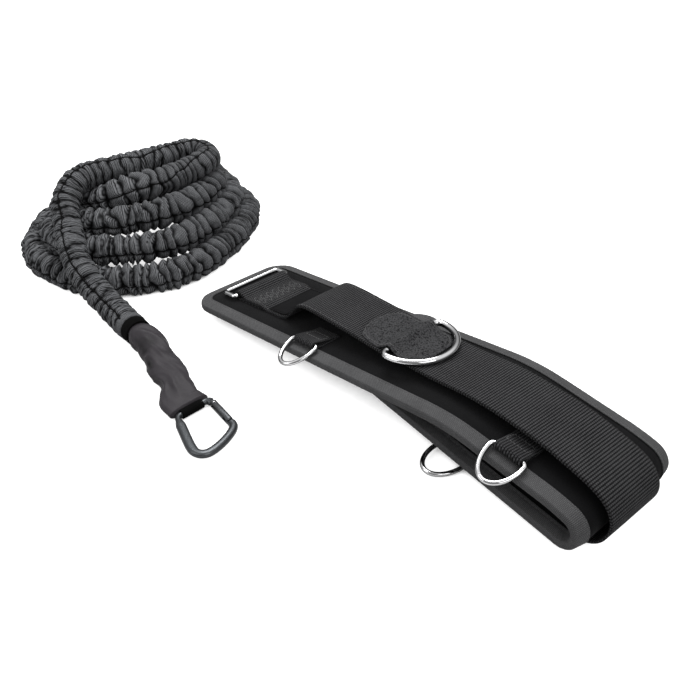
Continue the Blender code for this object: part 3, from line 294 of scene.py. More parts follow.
def makeWeaveGroup():
    # Cross ribs with yarns that pass over and under them by turns. Coordinates are in metres on the cloth
    group, given, result = newGroup(
        "clothWeave",
        {"Coordinates": None, "Rib pitch": 0.002, "Yarn pitch": 0.0012, "Wobble": 0.0003, "Yarn share": 0.7},
        ("Height", "Shade"),
    )
    cloth = given["Coordinates"]
    axes = addNode(group, "SeparateXYZ", {0: cloth}).outputs
    drift = calc(group, "SUBTRACT", noiseField(group, cloth, weave["driftScale"]), 0.5)
    drift = calc(group, "MULTIPLY", drift, given["Wobble"])
    along = calc(group, "ADD", axes["X"], drift)
    across = calc(group, "ADD", axes["Y"], drift)
    rib = calc(group, "POWER", wave(group, along, given["Rib pitch"]), weave["ribPower"])
    row = calc(group, "FLOOR", calc(group, "DIVIDE", along, given["Rib pitch"]))
    yarn = wave(group, across, given["Yarn pitch"], calc(group, "MULTIPLY", row, math.pi))
    below = calc(group, "SUBTRACT", 1.0, given["Yarn share"])
    height = calc(group, "MULTIPLY", rib, calc(group, "MULTIPLY_ADD", yarn, given["Yarn share"], below))
    # Single yarns stand out more or less than their neighbours
    grain = noiseField(group, cloth, weave["grainScale"], weave["detail"])
    height = calc(group, "MULTIPLY", height, calc(group, "MULTIPLY_ADD", grain, *weave["grain"]))
    fibre = noiseField(group, cloth, weave["fibreScale"], weave["detail"])
    raised = calc(group, "MULTIPLY", height, weave["relief"])
    shade = calc(group, "MULTIPLY_ADD", fibre, weave["fibre"], raised)
    feed(group, result, {"Height": height, "Shade": shade})
    return group


def makeFuzzGroup():
    # Short pile or felted fibre, with soft patches where it lies another way
    group, given, result = newGroup(
        "clothFuzz",
        {"Coordinates": None, "Fibre scale": 1800.0, "Patch scale": 60.0, "Patch share": 0.55},
        ("Height", "Shade"),
    )
    cloth, scale, share = given["Coordinates"], given["Fibre scale"], given["Patch share"]
    inputs = {"Vector": cloth, "Scale": scale, "Smoothness": fuzz["smoothness"]}
    cells = addNode(group, "TexVoronoi", inputs, feature="SMOOTH_F1")
    tuft = calc(group, "SUBTRACT", 1.0, cells.outputs["Distance"])
    fibre = noiseField(group, cloth, scale, roughness=fuzz["roughness"])
    height = calc(group, "MULTIPLY_ADD", tuft, fuzz["tuft"], calc(group, "MULTIPLY", fibre, fuzz["fibre"]))
    patches = noiseField(group, cloth, given["Patch scale"])
    below = calc(group, "MULTIPLY", height, calc(group, "SUBTRACT", 1.0, share))
    feed(group, result, {"Height": height, "Shade": calc(group, "MULTIPLY_ADD", patches, share, below)})
    return group


def makeMetalGroup():
    # Fine rub marks and slight cloudiness on plated or painted metal
    group, given, result = newGroup(
        "metalWear", {"Coordinates": None, "Base": 0.1, "Spread": 0.1}, ("Roughness", "Height", "Rubbed"),
    )
    cloud = noiseField(group, given["Coordinates"], *wear["cloud"])
    marks = noiseField(group, given["Coordinates"], *wear["marks"])
    mixed = calc(group, "MULTIPLY", cloud, marks)
    roughness = calc(group, "MULTIPLY_ADD", mixed, given["Spread"], given["Base"])
    point = addNode(group, "NewGeometry", {}).outputs["Pointiness"]
    edge = calc(group, "MULTIPLY", calc(group, "MULTIPLY_ADD", point, *wear["edge"]), cloud)
    rubbed = addNode(group, "Clamp", {"Value": edge}).outputs[0]
    feed(group, result, {"Roughness": roughness, "Height": marks, "Rubbed": rubbed})
    return group


weaveGroup = makeWeaveGroup()
fuzzGroup = makeFuzzGroup()
metalGroup = makeMetalGroup()


def finishShader(tree, shader, effect, look, values):
    # Relief from the effect's height, and the values that every finish has
    relief = {"Strength": look["strength"], "Distance": look["depth"], "Height": effect["Height"]}
    normal = addNode(tree, "Bump", relief).outputs["Normal"]
    feed(tree, shader, {"Normal": normal, "Specular IOR Level": look["specular"], **values})


def clothFinish(name, given):
    look = {**usualCloth, **given}
    made, tree, shader = newMaterial(name)
    body = addNode(tree, "TexCoord", {}).outputs["Object"]
    inputs = {"Coordinates": body}
    if look["flat"]:
        inputs["Coordinates"] = addNode(tree, "UVMap", {}, uv_map="cloth").outputs["UV"]
    if "rib" in look:
        group = weaveGroup
        inputs.update({"Rib pitch": look["rib"], "Yarn pitch": look["yarn"], "Wobble": look["wobble"],
                       "Yarn share": look["yarnShare"]})
    else:
        group = fuzzGroup
        inputs.update({"Fibre scale": look["fibre"], "Patch scale": look["patch"],
                       "Patch share": look["patchShare"]})
    effect = addNode(tree, "Group", inputs, node_tree=group).outputs
    # Colour runs from the weave's or pile's hollows, darkened as painted shade, to its crowns, with random
    # patches and slow tone changes over the cloth
    slow = noiseField(tree, body, look["slowScale"], look["slowDetail"])
    share = calc(tree, "MULTIPLY_ADD", slow, look["uneven"], effect["Shade"])
    share = calc(tree, "SUBTRACT", share, look["uneven"] / 2)
    if "contrast" in look:
        share = calc(tree, "MULTIPLY_ADD", share, look["contrast"], 0.5 - 0.5 * look["contrast"])
    colour = mixColours(tree, share, opaque(look["dark"]), opaque(look["light"]))
    if "paintedFoldShade" in look:
        # Painted shade: where the crown mask is low, in folds that are deep in the cloth, the colour is
        # darkened towards the painted fold shade colour
        crown = addNode(tree, "Attribute", {}, attribute_name="crown").outputs["Fac"]
        colour = mixColours(tree, crown, opaque(look["paintedFoldShade"]), colour)
    finishShader(tree, shader, effect, look, {
        "Base Color": colour, "Roughness": look["roughness"], "Sheen Weight": look["sheen"],
        "Sheen Roughness": look["sheenRoughness"],
    })
    return made


def metalFinish(name, given):
    look = {**usualMetal, **given}
    made, tree, shader = newMaterial(name)
    place = addNode(tree, "TexCoord", {}).outputs["Object"]
    inputs = {"Coordinates": place, "Base": look["roughness"], "Spread": look["spread"]}
    effect = addNode(tree, "Group", inputs, node_tree=metalGroup).outputs
    colour = mixColours(tree, effect["Rubbed"], opaque(look["colour"]), opaque(look["rubbed"]))
    if "rim" in look:
        # Painted reflection: by how squarely the wire faces the camera, its colour is banded grey along its
        # middle, then white, then dark rims, as a mirror of the room would show
        facing = addNode(tree, "LayerWeight", {"Blend": look["rim"]}).outputs["Facing"]
        bands = addNode(tree, "ValToRGB", {"Fac": facing})
        steps = bands.color_ramp.elements
        for _ in look["bands"][2:]:
            steps.new(1.0)
        for step, (spot, tone) in zip(steps, look["bands"]):
            step.position = spot
            step.color = opaque((tone, tone, tone))
        # The painted reflection bands multiply the metal's colour
        colour = mixColours(tree, 1.0, colour, bands.outputs["Color"], "MULTIPLY")
    finishShader(tree, shader, effect, look, {
        "Base Color": colour, "Roughness": effect["Roughness"], "Metallic": look["metallic"],
    })
    return made


# What a look doesn't say for itself
usualCloth = {
    "flat": False, "wobble": 0.0003, "yarnShare": 0.7, "patch": 90.0, "patchShare": 0.55, "slowScale": 35.0,
    "slowDetail": 4.0, "uneven": 0.5, "strength": 0.9, "roughness": 0.9, "specular": 0.05, "sheen": 0.02,
    "sheenRoughness": 0.45,
}
usualMetal = {"specular": 0.5, "strength": 0.15}
looks = {
    "cover": {"dark": (0.0030, 0.0030, 0.0033), "light": (0.0085, 0.0085, 0.009), "fibre": 1500.0,
              "patch": 45.0, "depth": 0.00030, "roughness": 0.95, "specular": 0.03, "sheen": 0.05,
              "uneven": 0.4},
    "lining": {"dark": (0.002, 0.002, 0.002), "light": (0.009, 0.009, 0.0095), "rib": 0.0016, "yarn": 0.0013,
               "flat": True, "depth": 0.0002, "specular": 0.08},
    "binding": {"dark": (0.024, 0.024, 0.025), "light": (0.094, 0.094, 0.096), "rib": 0.0011, "yarn": 0.0016,
                "flat": True, "depth": 0.00022, "roughness": 0.85, "specular": 0.10, "sheen": 0.05},
    "webbing": {"dark": (0.0030, 0.0030, 0.0033), "light": (0.056, 0.056, 0.058), "rib": 0.0024,
                "yarn": 0.0020, "flat": True, "depth": 0.00055, "uneven": 0.25, "contrast": 1.6},
    "tab": {"dark": (0.0030, 0.0030, 0.0033), "light": (0.050, 0.050, 0.052), "rib": 0.0022, "yarn": 0.0019,
            "depth": 0.00055, "contrast": 1.5},
    "patch": {"dark": (0.0025, 0.0025, 0.0028), "light": (0.048, 0.048, 0.050), "fibre": 700.0,
              "patch": 110.0, "patchShare": 0.10, "depth": 0.0012, "roughness": 0.95, "specular": 0.03,
              "uneven": 0.12, "contrast": 3.0},
    "hook": {"dark": (0.004, 0.004, 0.004), "light": (0.03, 0.03, 0.03), "fibre": 900.0, "depth": 0.0006,
             "roughness": 0.6, "specular": 0.25, "sheen": 0.1},
    "label": {"dark": (0.0025, 0.0025, 0.0028), "light": (0.009, 0.009, 0.0095), "fibre": 2400.0,
              "patch": 70.0, "depth": 0.00012, "roughness": 0.85, "specular": 0.06, "sheen": 0.0},
    # The sleeve's and the wrap's paintedFoldShade colours are painted shade for their deep folds
    "sleeve": {"dark": (0.004, 0.004, 0.0045), "light": (0.140, 0.143, 0.150), "rib": 0.0022, "yarn": 0.0042,
               "yarnShare": 0.25, "flat": True, "depth": 0.00045, "wobble": 0.0010, "roughness": 0.85,
               "sheen": 0.0, "contrast": 1.3, "paintedFoldShade": (0.0004, 0.0004, 0.0005)},
    "hem": {"dark": (0.0008, 0.0008, 0.0008), "light": (0.005, 0.005, 0.005), "fibre": 1600.0, "patch": 70.0,
            "depth": 0.0002, "roughness": 0.95, "specular": 0.03, "sheen": 0.0},
    "wrap": {"dark": (0.0070, 0.0063, 0.0073), "light": (0.043, 0.0385, 0.044), "fibre": 2600.0,
             "patch": 40.0, "depth": 0.00008, "roughness": 0.5, "specular": 0.14, "uneven": 0.6,
             "paintedFoldShade": (0.0010, 0.0009, 0.0010)},
    "thread": {"dark": (0.0012, 0.0012, 0.0012), "light": (0.008, 0.008, 0.008), "fibre": 3000.0,
               "depth": 0.0001, "sheen": 0.0},
    "greyThread": {"dark": (0.020, 0.020, 0.020), "light": (0.115, 0.115, 0.117), "fibre": 3000.0,
                   "depth": 0.0001, "roughness": 0.6, "specular": 0.25, "sheen": 0.1},
    "bindingThread": {"dark": (0.030, 0.030, 0.031), "light": (0.10, 0.10, 0.102), "fibre": 3000.0,
                      "depth": 0.0001, "roughness": 0.6, "specular": 0.3, "sheen": 0.1},
}
metalLooks = {
    # The chrome's rim and bands paint a reflection into its colour
    "chrome": {"colour": (0.80, 0.80, 0.81), "rubbed": (0.86, 0.86, 0.87), "roughness": 0.05, "spread": 0.16,
               "depth": 0.00002, "metallic": 1.0, "rim": 0.42,
               "bands": ((0.0, 0.38), (0.03, 0.46), (0.10, 1.0), (0.26, 0.95), (0.55, 0.16), (1.0, 0.03))},
    "gunmetal": {"colour": (0.060, 0.064, 0.068), "rubbed": (0.17, 0.17, 0.18), "roughness": 0.28,
                 "spread": 0.3, "depth": 0.00003, "metallic": 0.85},
    "pin": {"colour": (0.45, 0.45, 0.46), "rubbed": (0.6, 0.6, 0.6), "roughness": 0.2, "spread": 0.3,
            "depth": 0.00002, "metallic": 1.0},
}
cloths = {name: clothFinish(name + "Cloth", look) for name, look in looks.items()}
metals = {name: metalFinish(name + "Metal", look) for name, look in metalLooks.items()}
print("materials made")


# Studio: camera at the photograph's angle, pale floor, soft light

studio = {
    "cameraPlace": (0.38707, -0.4444, 0.455), "turn": 45.7, "pitch": 35.0, "lens": 42.17, "sensor": 36.0,
    "clipStart": 0.01, "floorReach": 12.0, "floorDrop": 0.0001, "floorTone": 0.50, "floorRoughness": 0.9,
    "floorSpecular": 0.1, "floorGlow": 0.90, "shadeReach": 0.09, "shadeFrom": (0.06, 0.24),
    "aim": (-0.0945, 0.0, 0.03), "lightSize": 0.9, "worldTones": (0.10, 0.85), "horizon": (0.05, 0.75),
    # Place and power
    "lights": {
        "keyLight": ((-0.5445, 0.35, 1.45), 24.0), "sideLight": ((1.1555, -0.35, 0.85), 7.0),
        "frontLight": ((-0.4445, -1.2, 0.75), 4.0),
    },
}
white = (1.0, 1.0, 1.0, 1.0)


def makeCamera():
    data = bpy.data.cameras.new("photoCamera")
    data.lens = studio["lens"]
    data.sensor_width = studio["sensor"]
    data.clip_start = studio["clipStart"]
    camera = addObject("photoCamera", data)
    camera.location = studio["cameraPlace"]
    camera.rotation_euler = (math.radians(90 - studio["pitch"]), 0.0, math.radians(studio["turn"]))
    bpy.context.scene.camera = camera


def makeLight(name, place, power):
    data = bpy.data.lights.new(name, "AREA")
    data.size = studio["lightSize"]
    data.energy = power
    light = addObject(name, data)
    light.location = place
    light.rotation_euler = (Vector(studio["aim"]) - Vector(place)).to_track_quat("-Z", "Y").to_euler()


def makeFloor():
    reach, height, tone = studio["floorReach"], -studio["floorDrop"], studio["floorTone"]
    corners = np.array([(x * reach, y * reach, height) for x, y in ((-1, -1), (1, -1), (1, 1), (-1, 1))])
    made, tree, shader = newMaterial("studioFloor")
    feed(tree, shader, {
        "Base Color": opaque((tone, tone, tone)), "Roughness": studio["floorRoughness"],
        "Specular IOR Level": studio["floorSpecular"],
    })
    # To the camera the floor glows near white, with only the soft contact shadows left on it. Its glow is
    # cut back by ambient occlusion, so shade is painted on the floor inside the pile, where little of the
    # sky is open
    sky = addNode(tree, "AmbientOcclusion", {"Distance": studio["shadeReach"]}).outputs["AO"]
    outsidePaintedShade = softRange(tree, sky, studio["shadeFrom"], (0.0, 1.0))
    seen = calc(tree, "MULTIPLY", addNode(tree, "LightPath", {}).outputs["Is Camera Ray"], outsidePaintedShade)
    strength = calc(tree, "MULTIPLY", seen, studio["floorGlow"])
    glow = addNode(tree, "Emission", {"Color": white, "Strength": strength})
    both = addNode(tree, "AddShader", {0: shader.outputs[0], 1: glow.outputs[0]})
    feed(tree, tree.nodes["Material Output"], {"Surface": both.outputs[0]})
    finishMesh("studioFloor", corners, [(0, 1, 2, 3)], made)


def makeWorld():
    world = bpy.data.worlds.new("studioWorld")
    world.use_nodes = True
    tree = world.node_tree
    # A pale dome, darker towards the horizon, so that the chrome has something to show. The camera
    # itself sees it white behind the floor's end
    toward = addNode(tree, "TexCoord", {}).outputs["Generated"]
    height = addNode(tree, "SeparateXYZ", {0: toward}).outputs["Z"]
    dome = softRange(tree, height, studio["horizon"], studio["worldTones"])
    strength = calc(tree, "MAXIMUM", dome, addNode(tree, "LightPath", {}).outputs["Is Camera Ray"])
    feed(tree, tree.nodes["Background"], {"Color": white, "Strength": strength})
    bpy.context.scene.world = world
    bpy.context.scene.view_settings.view_transform = "Standard"


makeCamera()
makeFloor()
makeWorld()
for light, (place, power) in studio["lights"].items():
    makeLight(light, place, power)
print("studio made")


# Sizes of the pad, the strap and the cord, in the belt's own axes. Forms and routes are the solids' own

pad = {
    "length": 0.740, "lead": 0.011, "width": 0.115, "corner": 0.022, "cover": 0.0012, "foam": 0.0064,
    "lining": 0.0010, "gap": 0.0003, "taper": 0.014, "drop": 0.0026, "rise": 0.0022, "endHeight": 0.016,
    "riseRun": 0.297, "crestRun": 0.050, "fallRun": 0.062, "shoulderRun": 0.026,
    "riseAngle": math.radians(6.4), "fallAngle": math.radians(-8.0), "shoulderAngle": math.radians(-17.0),
    "underTilt": math.radians(3.55), "slant": math.radians(2.8), "slantFrom": (0.200, 0.290),
    "slantTo": (0.500, 0.600), "step": 0.00025, "tries": 40,
}
pad["thickness"] = pad["cover"] + pad["foam"] + pad["lining"] + 2 * pad["gap"]
strap = {
    "width": 0.0605, "thickness": 0.0018, "centre": 0.0575, "rise": 0.0225, "foldShift": -0.008,
    "tailReach": 0.070, "wire": 0.005, "barPlace": 0.0285, "underLength": 0.036,
    "lifts": ((0.092, 0.00), (0.104, 0.16), (0.113, 0.56), (0.122, 0.90), (0.131, 1.00), (0.145, 0.97),
              (0.163, 0.88), (0.188, 0.75), (0.210, 0.60), (0.231, 0.47), (0.256, 0.43), (0.280, 0.35),
              (0.303, 0.32), (0.330, 0.40), (0.352, 0.48), (0.374, 0.56), (0.394, 0.60), (0.411, 0.58)),
    "shifts": ((0.0, 0.0), (0.300, 0.0), (0.360, 0.2), (0.420, 0.7), (0.470, 1.0), (1.0, 1.0)),
    "foldLifts": ((0.25, 0.80), (0.5, 0.46), (0.72, 0.20), (0.9, 0.04), (1.0, 0.0)),
    "step": 0.0022,
}


def foldProfile():
    # The pad's middle line as heading against length, its fold just clear of the strap's tail
    contact = strap["thickness"] + pad["gap"] + pad["thickness"] / 2
    low, high = pad["thickness"] / 2, pad["thickness"] * 4
    run = np.arange(0.0, pad["length"] + pad["step"] / 2, pad["step"])
    for _ in range(pad["tries"]):
        radius = (low + high) / 2
        turn = math.pi + pad["underTilt"] + pad["shoulderAngle"]
        runs = [0.0, pad["riseRun"], pad["crestRun"], pad["fallRun"], pad["shoulderRun"], radius * turn]
        places = np.cumsum(runs)
        angles = [pad["riseAngle"]] * 2 + [pad["fallAngle"]] * 2
        angles += [pad["shoulderAngle"], -math.pi - pad["underTilt"]]
        heading = np.interp(run, places, angles)
        middle = (heading[1:] + heading[:-1]) / 2
        x = summed(np.cos(middle)) * pad["step"]
        z = pad["endHeight"] + summed(np.sin(middle)) * pad["step"]
        if z.min() > contact:
            low = radius
        else:
            high = radius
    return run, x, z, heading, places


profileRun, profileX, profileZ, profileHeading, profilePlaces = foldProfile()
foldStart, foldEnd = profilePlaces[4], profilePlaces[5]
foldPlace = (foldStart + foldEnd) / 2
crestX = float(np.interp(pad["riseRun"], profileRun, profileX))
pivotX = crestX + foldPlace - pad["riseRun"]


def beltAxes(s, w, h):
    # s along the pad, w across it from the near edge, h out from its outer face, in the belt's own axes
    s, w, h = np.broadcast_arrays(np.asarray(s, float), np.asarray(w, float), np.asarray(h, float))
    across = w - pad["width"] / 2
    slanted = rise(s, pad["slantFrom"]) * (1 - rise(s, pad["slantTo"]))
    cosine, sine = math.cos(pad["slant"]), math.sin(pad["slant"])
    along = s + across * math.tan(pad["slant"]) * slanted - foldPlace
    run = foldPlace + along * cosine - across * sine
    beside = along * sine + across * cosine
    clipped = np.clip(run, 0.0, pad["length"])
    past = run - clipped
    angle = np.interp(clipped, profileRun, profileHeading)
    out = h + pad["thickness"] / 2
    x = np.interp(clipped, profileRun, profileX) + past * np.cos(angle) - out * np.sin(angle)
    z = np.interp(clipped, profileRun, profileZ) + past * np.sin(angle) + out * np.cos(angle)
    reach = x - pivotX
    return np.stack([
        pivotX + reach * cosine + beside * sine,
        pad["width"] / 2 - reach * sine + beside * cosine,
        z,
    ], axis=-1)


# The buckle's bar is known both in the belt's axes and in the frame, which gives the shift between them
buckleBar = pad["gap"] * 2 + strap["thickness"] + strap["wire"] / 2
shift = beltAxes(strap["barPlace"], strap["centre"], buckleBar) - np.array(joints["buckle_swing"]["pos_m"])
shift[2] = 0.0


def beltPoint(s, w, h):
    return beltAxes(s, w, h) - shift


pile = {
    "place": (-0.1877, 0.0448), "longRadii": (0.134, 0.110, 0.087, 0.065),
    "shortRadii": (0.114, 0.088, 0.062, 0.036), "shifts": (0.008, 0.014, 0.016, 0.018),
    "leans": (0.014, 0.009, 0.0, 0.0), "leftShares": (0.900, 0.966, 0.969, 0.958),
    "heights": (0.0, 0.0235, 0.0470, 0.0705), "slumped": (0.0, 0.0230, 0.0384, 0.0532),
    "start": 66.0, "end": 270.0, "climb": (350.0, 430.0), "slumpFrom": (20.0, 80.0),
    "slumpTo": (168.0, 248.0), "lean": (250.0, 360.0), "step": 3.0, "rest": 0.0141, "perSpan": 4,
    "leadPerSpan": 12,
}
leadRoute = (
    (-0.1525, 0.0980, 0.0856), (-0.1525, 0.1110, 0.0868), (-0.1528, 0.1205, 0.0886),
    (-0.1552, 0.1300, 0.0897), (-0.1616, 0.1366, 0.0906), (-0.1705, 0.1390, 0.0910),
    (-0.1794, 0.1366, 0.0918), (-0.1860, 0.1300, 0.0924), (-0.1886, 0.1205, 0.0929),
    (-0.1894, 0.1090, 0.0933), (-0.1898, 0.0920, 0.0937), (-0.1903, 0.0740, 0.0942),
    (-0.1915, 0.0500, 0.0950), (-0.1940, 0.0300, 0.0960), (-0.1958, 0.0100, 0.0967),
    (-0.1950, -0.0080, 0.0962), (-0.1897, -0.0240, 0.0912), (-0.1815, -0.0355, 0.0840),
    (-0.1720, -0.0430, 0.0765), (-0.1570, -0.0510, 0.0675), (-0.1430, -0.0570, 0.0580),
    (-0.1288, -0.0625, 0.0485), (-0.1130, -0.0665, 0.0400), (-0.0980, -0.0675, 0.0325),
    (-0.0830, -0.0670, 0.0250), (-0.0660, -0.0662, 0.0185), (-0.0540, -0.0663, 0.0155),
    (-0.0430, -0.0669, 0.0142), (-0.0290, -0.0681, 0.0141), (-0.0150, -0.0693, 0.0141),
)
farRoute = (
    (-0.2862, 0.1420, 0.0141), (-0.2871, 0.1330, 0.0141), (-0.2881, 0.1240, 0.0141),
    (-0.2892, 0.1155, 0.0141),
)


def coilPoint(angle):
    loops = math.floor((angle - pile["climb"][1] + 360.0) / 360.0)
    inside = angle - loops * 360.0
    level = max(0.0, loops + float(rise(inside, pile["climb"])))

    def atLevel(values):
        return float(np.interp(level, range(len(values)), values))

    around = angle % 360.0
    slump = float(rise(around, pile["slumpFrom"])) * (1 - float(rise(around, pile["slumpTo"])))
    height = atLevel(pile["heights"]) * (1 - slump) + atLevel(pile["slumped"]) * slump
    lean = pile["lean"]
    leaned = 0.0
    if lean[0] < around < lean[1]:
        leaned = math.sin(math.pi * (around - lean[0]) / (lean[1] - lean[0])) ** 2
    turn = math.radians(angle)
    longRadius = atLevel(pile["longRadii"])
    if math.cos(turn) < 0:
        longRadius *= atLevel(pile["leftShares"])
    return (
        pile["place"][0] - atLevel(pile["shortRadii"]) * math.sin(turn) - atLevel(pile["leans"]) * leaned,
        pile["place"][1] + atLevel(pile["shifts"]) + longRadius * math.cos(turn),
        pile["rest"] + height,
    )


def cordRoute():
    last = pile["end"] + 360.0 * (len(pile["longRadii"]) - 1)
    count = int((last - pile["start"]) / pile["step"]) + 1
    loops = [coilPoint(a) for a in np.linspace(pile["start"], last, count)]
    coil = curveThrough(list(farRoute) + loops, pile["perSpan"])
    heading = unit(coil[-1] - coil[-2])
    joint = coil[-1]
    lead = curveThrough([joint, joint + heading * sleeve["pitch"]] + list(leadRoute), pile["leadPerSpan"])
    return np.vstack([coil, lead[1:]]) - shift, lengthOf(coil)


# The two cloth wraps' centre lines, with the width and height of the cloth at each point

ends = {
    "near": {
        "mouth": np.array(leadRoute[-1]), "seed": 11.0,
        "plan": ((-0.0150, -0.0693), (-0.0020, -0.0705), (0.0200, -0.0725), (0.0450, -0.0775),
                 (0.0700, -0.0835), (0.0890, -0.0908), (0.1020, -0.0958), (0.1138, -0.0957)),
    },
    "far": {
        "mouth": np.array(farRoute[0]), "seed": 47.0,
        "plan": ((-0.2862, 0.1420), (-0.2848, 0.1550), (-0.2815, 0.1720), (-0.2735, 0.1890),
                 (-0.2670, 0.2060), (-0.2705, 0.2200), (-0.2830, 0.2275), (-0.3000, 0.2260),
                 (-0.3160, 0.2200)),
    },
}
wrap = {
    "hemLength": 0.012, "inset": 0.0015, "step": 0.0011, "sides": 72, "square": 0.06, "floor": 0.0002,
    "perSpan": 12, "sizesPerSpan": 10,
    # Distance from the hem, width, height
    "sizes": (
        (0.000, 0.0220, 0.0220), (0.0115, 0.0220, 0.0220), (0.0165, 0.0262, 0.0246),
        (0.0280, 0.0278, 0.0236), (0.0400, 0.0286, 0.0216), (0.0500, 0.0262, 0.0200),
        (0.0590, 0.0272, 0.0188), (0.0680, 0.0310, 0.0176), (0.0760, 0.0322, 0.0166),
        (0.0860, 0.0304, 0.0158), (0.0940, 0.0270, 0.0156), (0.1000, 0.0264, 0.0152),
        (0.1080, 0.0320, 0.0134), (0.1180, 0.0376, 0.0118), (0.1270, 0.0402, 0.0106),
        (0.1365, 0.0412, 0.0098),
    ),
    "fold": 0.0021, "foldMiddle": 0.55, "foldDepth": 2.2, "sway": 0.0012, "swayScale": 95.0, "twist": 48.0,
    "wander": (0.9, 21.0), "roundScale": 0.8, "crease": 0.0008, "creaseScale": (3.4, 2.6, 2.6),
    # paintedFoldShade: depth and fold level of the shade painted into the wrap's creases
    "creaseSeed": 5.0, "radius": 0.014, "paintedFoldShade": (0.9, 0.45),
    # How strongly the cloth is bunched at distances from the hem
    "bunched": ((0.0, 0.0), (0.012, 0.15), (0.022, 0.8), (0.05, 1.0), (0.100, 1.0), (0.122, 0.5),
                (0.1365, 0.0)),
}


def flatFrames(line):
    # Heading, sideways and upward directions of a level line
    ahead = np.gradient(line, axis=0)
    ahead[:, 2] = 0.0
    ahead = unit(ahead)
    side = np.stack([-ahead[:, 1], ahead[:, 0], np.zeros(len(line))], axis=-1)
    return ahead, side, np.cross(ahead, side)


def layWrap(end):
    route = curveThrough([(x, y, 0.0) for x, y in end["plan"]], wrap["perSpan"])
    length = lengthOf(route)
    places = np.linspace(wrap["inset"], length, int(length / wrap["step"]))
    away = places - wrap["inset"]
    centres = atLengths(route, places)
    shape = curveThrough(wrap["sizes"], wrap["sizesPerSpan"])
    width = np.interp(away, shape[:, 0], shape[:, 1])
    height = np.interp(away, shape[:, 0], shape[:, 2])
    rest = height / 2 + wrap["floor"]
    laid = ease((away - wrap["hemLength"]) / (wrap["hemLength"] * 2))
    centres[:, 2] = np.maximum(rest, end["mouth"][2] * (1 - laid) + rest * laid)
    end.update(away=away, line=centres - shift, width=width, height=height)


for end in ends.values():
    layWrap(end)


# Gathered sleeve. Its puffs follow each other at uneven distances, the creases between them wander
# round the tube and fork, and they die down on the lead
sleeve = {
    "pitch": 0.0160, "diameter": 0.0278, "step": 0.00105, "sides": 76, "valley": 0.0108, "puff": 0.0062,
    "leadValley": 0.0124, "leadPuff": 0.0024, "settle": 0.16, "puffs": 0.0108, "leadPuffs": 0.0100,
    "unevenness": 0.42, "jitter": 0.48, "sharpness": 0.60, "bands": 6, "warp": 0.40, "wrinkle": 0.0011,
    "forkShare": 0.55, "forkDepth": 0.45, "forkWidth": 0.10, "fine": 0.00022, "finePitch": 0.0027,
    "seamDip": 0.0022, "seamWidth": 0.11, "endRadius": 0.0143, "most": 0.0186, "endReach": 0.004,
    "crownFrom": 0.16, "crownRun": 0.74, "seamThread": 0.00085, "seamSwing": 0.15, "seamPitch": 0.0105,
    "threadSides": 6, "threadTrim": 6, "coreRadius": 0.007, "coreMargin": 0.0025, "coreShort": 0.014,
    "floor": 0.0002, "uvStretch": 1.5,
    # Noise over the cloth: its scales, and what it and the lead change
    "broadScale": (55.0, 0.9, 0.9), "closeScale": (4.5, 2.4, 2.4), "closeSeed": 31.0, "closeWarp": 0.07,
    "swell": 0.30, "sizeSpread": 0.22, "leadWrinkle": 0.45, "leadSeam": 0.55, "pleatWarp": 6.0,
    "pleatTwist": 1.2, "forkMiddle": (0.35, 0.3), "forkWander": 0.15, "forkReach": 1.4,
    # Where the seam faces, as places along the sleeve and angles up from its right side
    "seamPlaces": (0.0, 1.90, 2.02, 2.10, 2.20, 2.30, 2.36, 2.49),
    "seamAngles": (-4.0, -4.0, 20.0, 95.0, 128.0, 80.0, 58.0, 52.0),
}
rng = np.random.default_rng(7)


def tubeFrames(points):
    ahead = unit(np.gradient(points, axis=0))
    right = unit(np.cross(ahead, np.array([0.0, 0.0, 1.0])))
    return ahead, right, np.cross(right, ahead)


def noiseAt(points):
    flat = points.reshape(-1, 3)
    return np.array([noise.noise(Vector(p)) for p in flat]).reshape(points.shape[:-1])


def tube(name, line, radius, finish, sides):
    _, right, up = tubeFrames(line)
    return gridPiece(name, line[:, None] + radius * roundLine(fullTurn(sides), right, up), finish)


def puffPhases(places, angles, onLeadAt, total):
    # Running count of puffs at each place and angle
    marks = [0.0]
    while marks[-1] < total + sleeve["puffs"] * 2:
        share = float(np.interp(marks[-1], places, onLeadAt))
        mean = sleeve["puffs"] * (1 - share) + sleeve["leadPuffs"] * share
        marks.append(marks[-1] + mean * (1 + sleeve["unevenness"] * (rng.random() * 2 - 1)))
    marks = np.array(marks)
    spacing = np.diff(marks, append=marks[-1] + sleeve["puffs"])
    phases = np.zeros((len(places), len(angles)))
    weights = np.zeros((1, len(angles)))
    for band in range(sleeve["bands"]):
        moved = marks + spacing * sleeve["jitter"] * (rng.random(len(marks)) * 2 - 1)
        middle = 2 * math.pi * band / sleeve["bands"]
        weight = (0.5 + 0.5 * np.cos(angles - middle))[None] ** 3
        phases += np.interp(places, moved, np.arange(len(marks)))[:, None] * weight
        weights += weight
    return phases / weights, len(marks)


def coreTube(end, angles, way):
    # Rings of the core inside a wrap, in the order in which the cord meets them
    kept = slice(2, -int(sleeve["coreShort"] / wrap["step"]), 3)
    line = end["line"][kept][::way]
    thick = np.minimum(sleeve["coreRadius"], end["height"][kept][::way] / 2 - sleeve["coreMargin"])
    _, right, up = tubeFrames(line)
    rings = line[:, None] + thick[:, None, None] * roundLine(angles, right, up)
    return line, rings, np.tile(thick[:, None], (1, len(angles)))


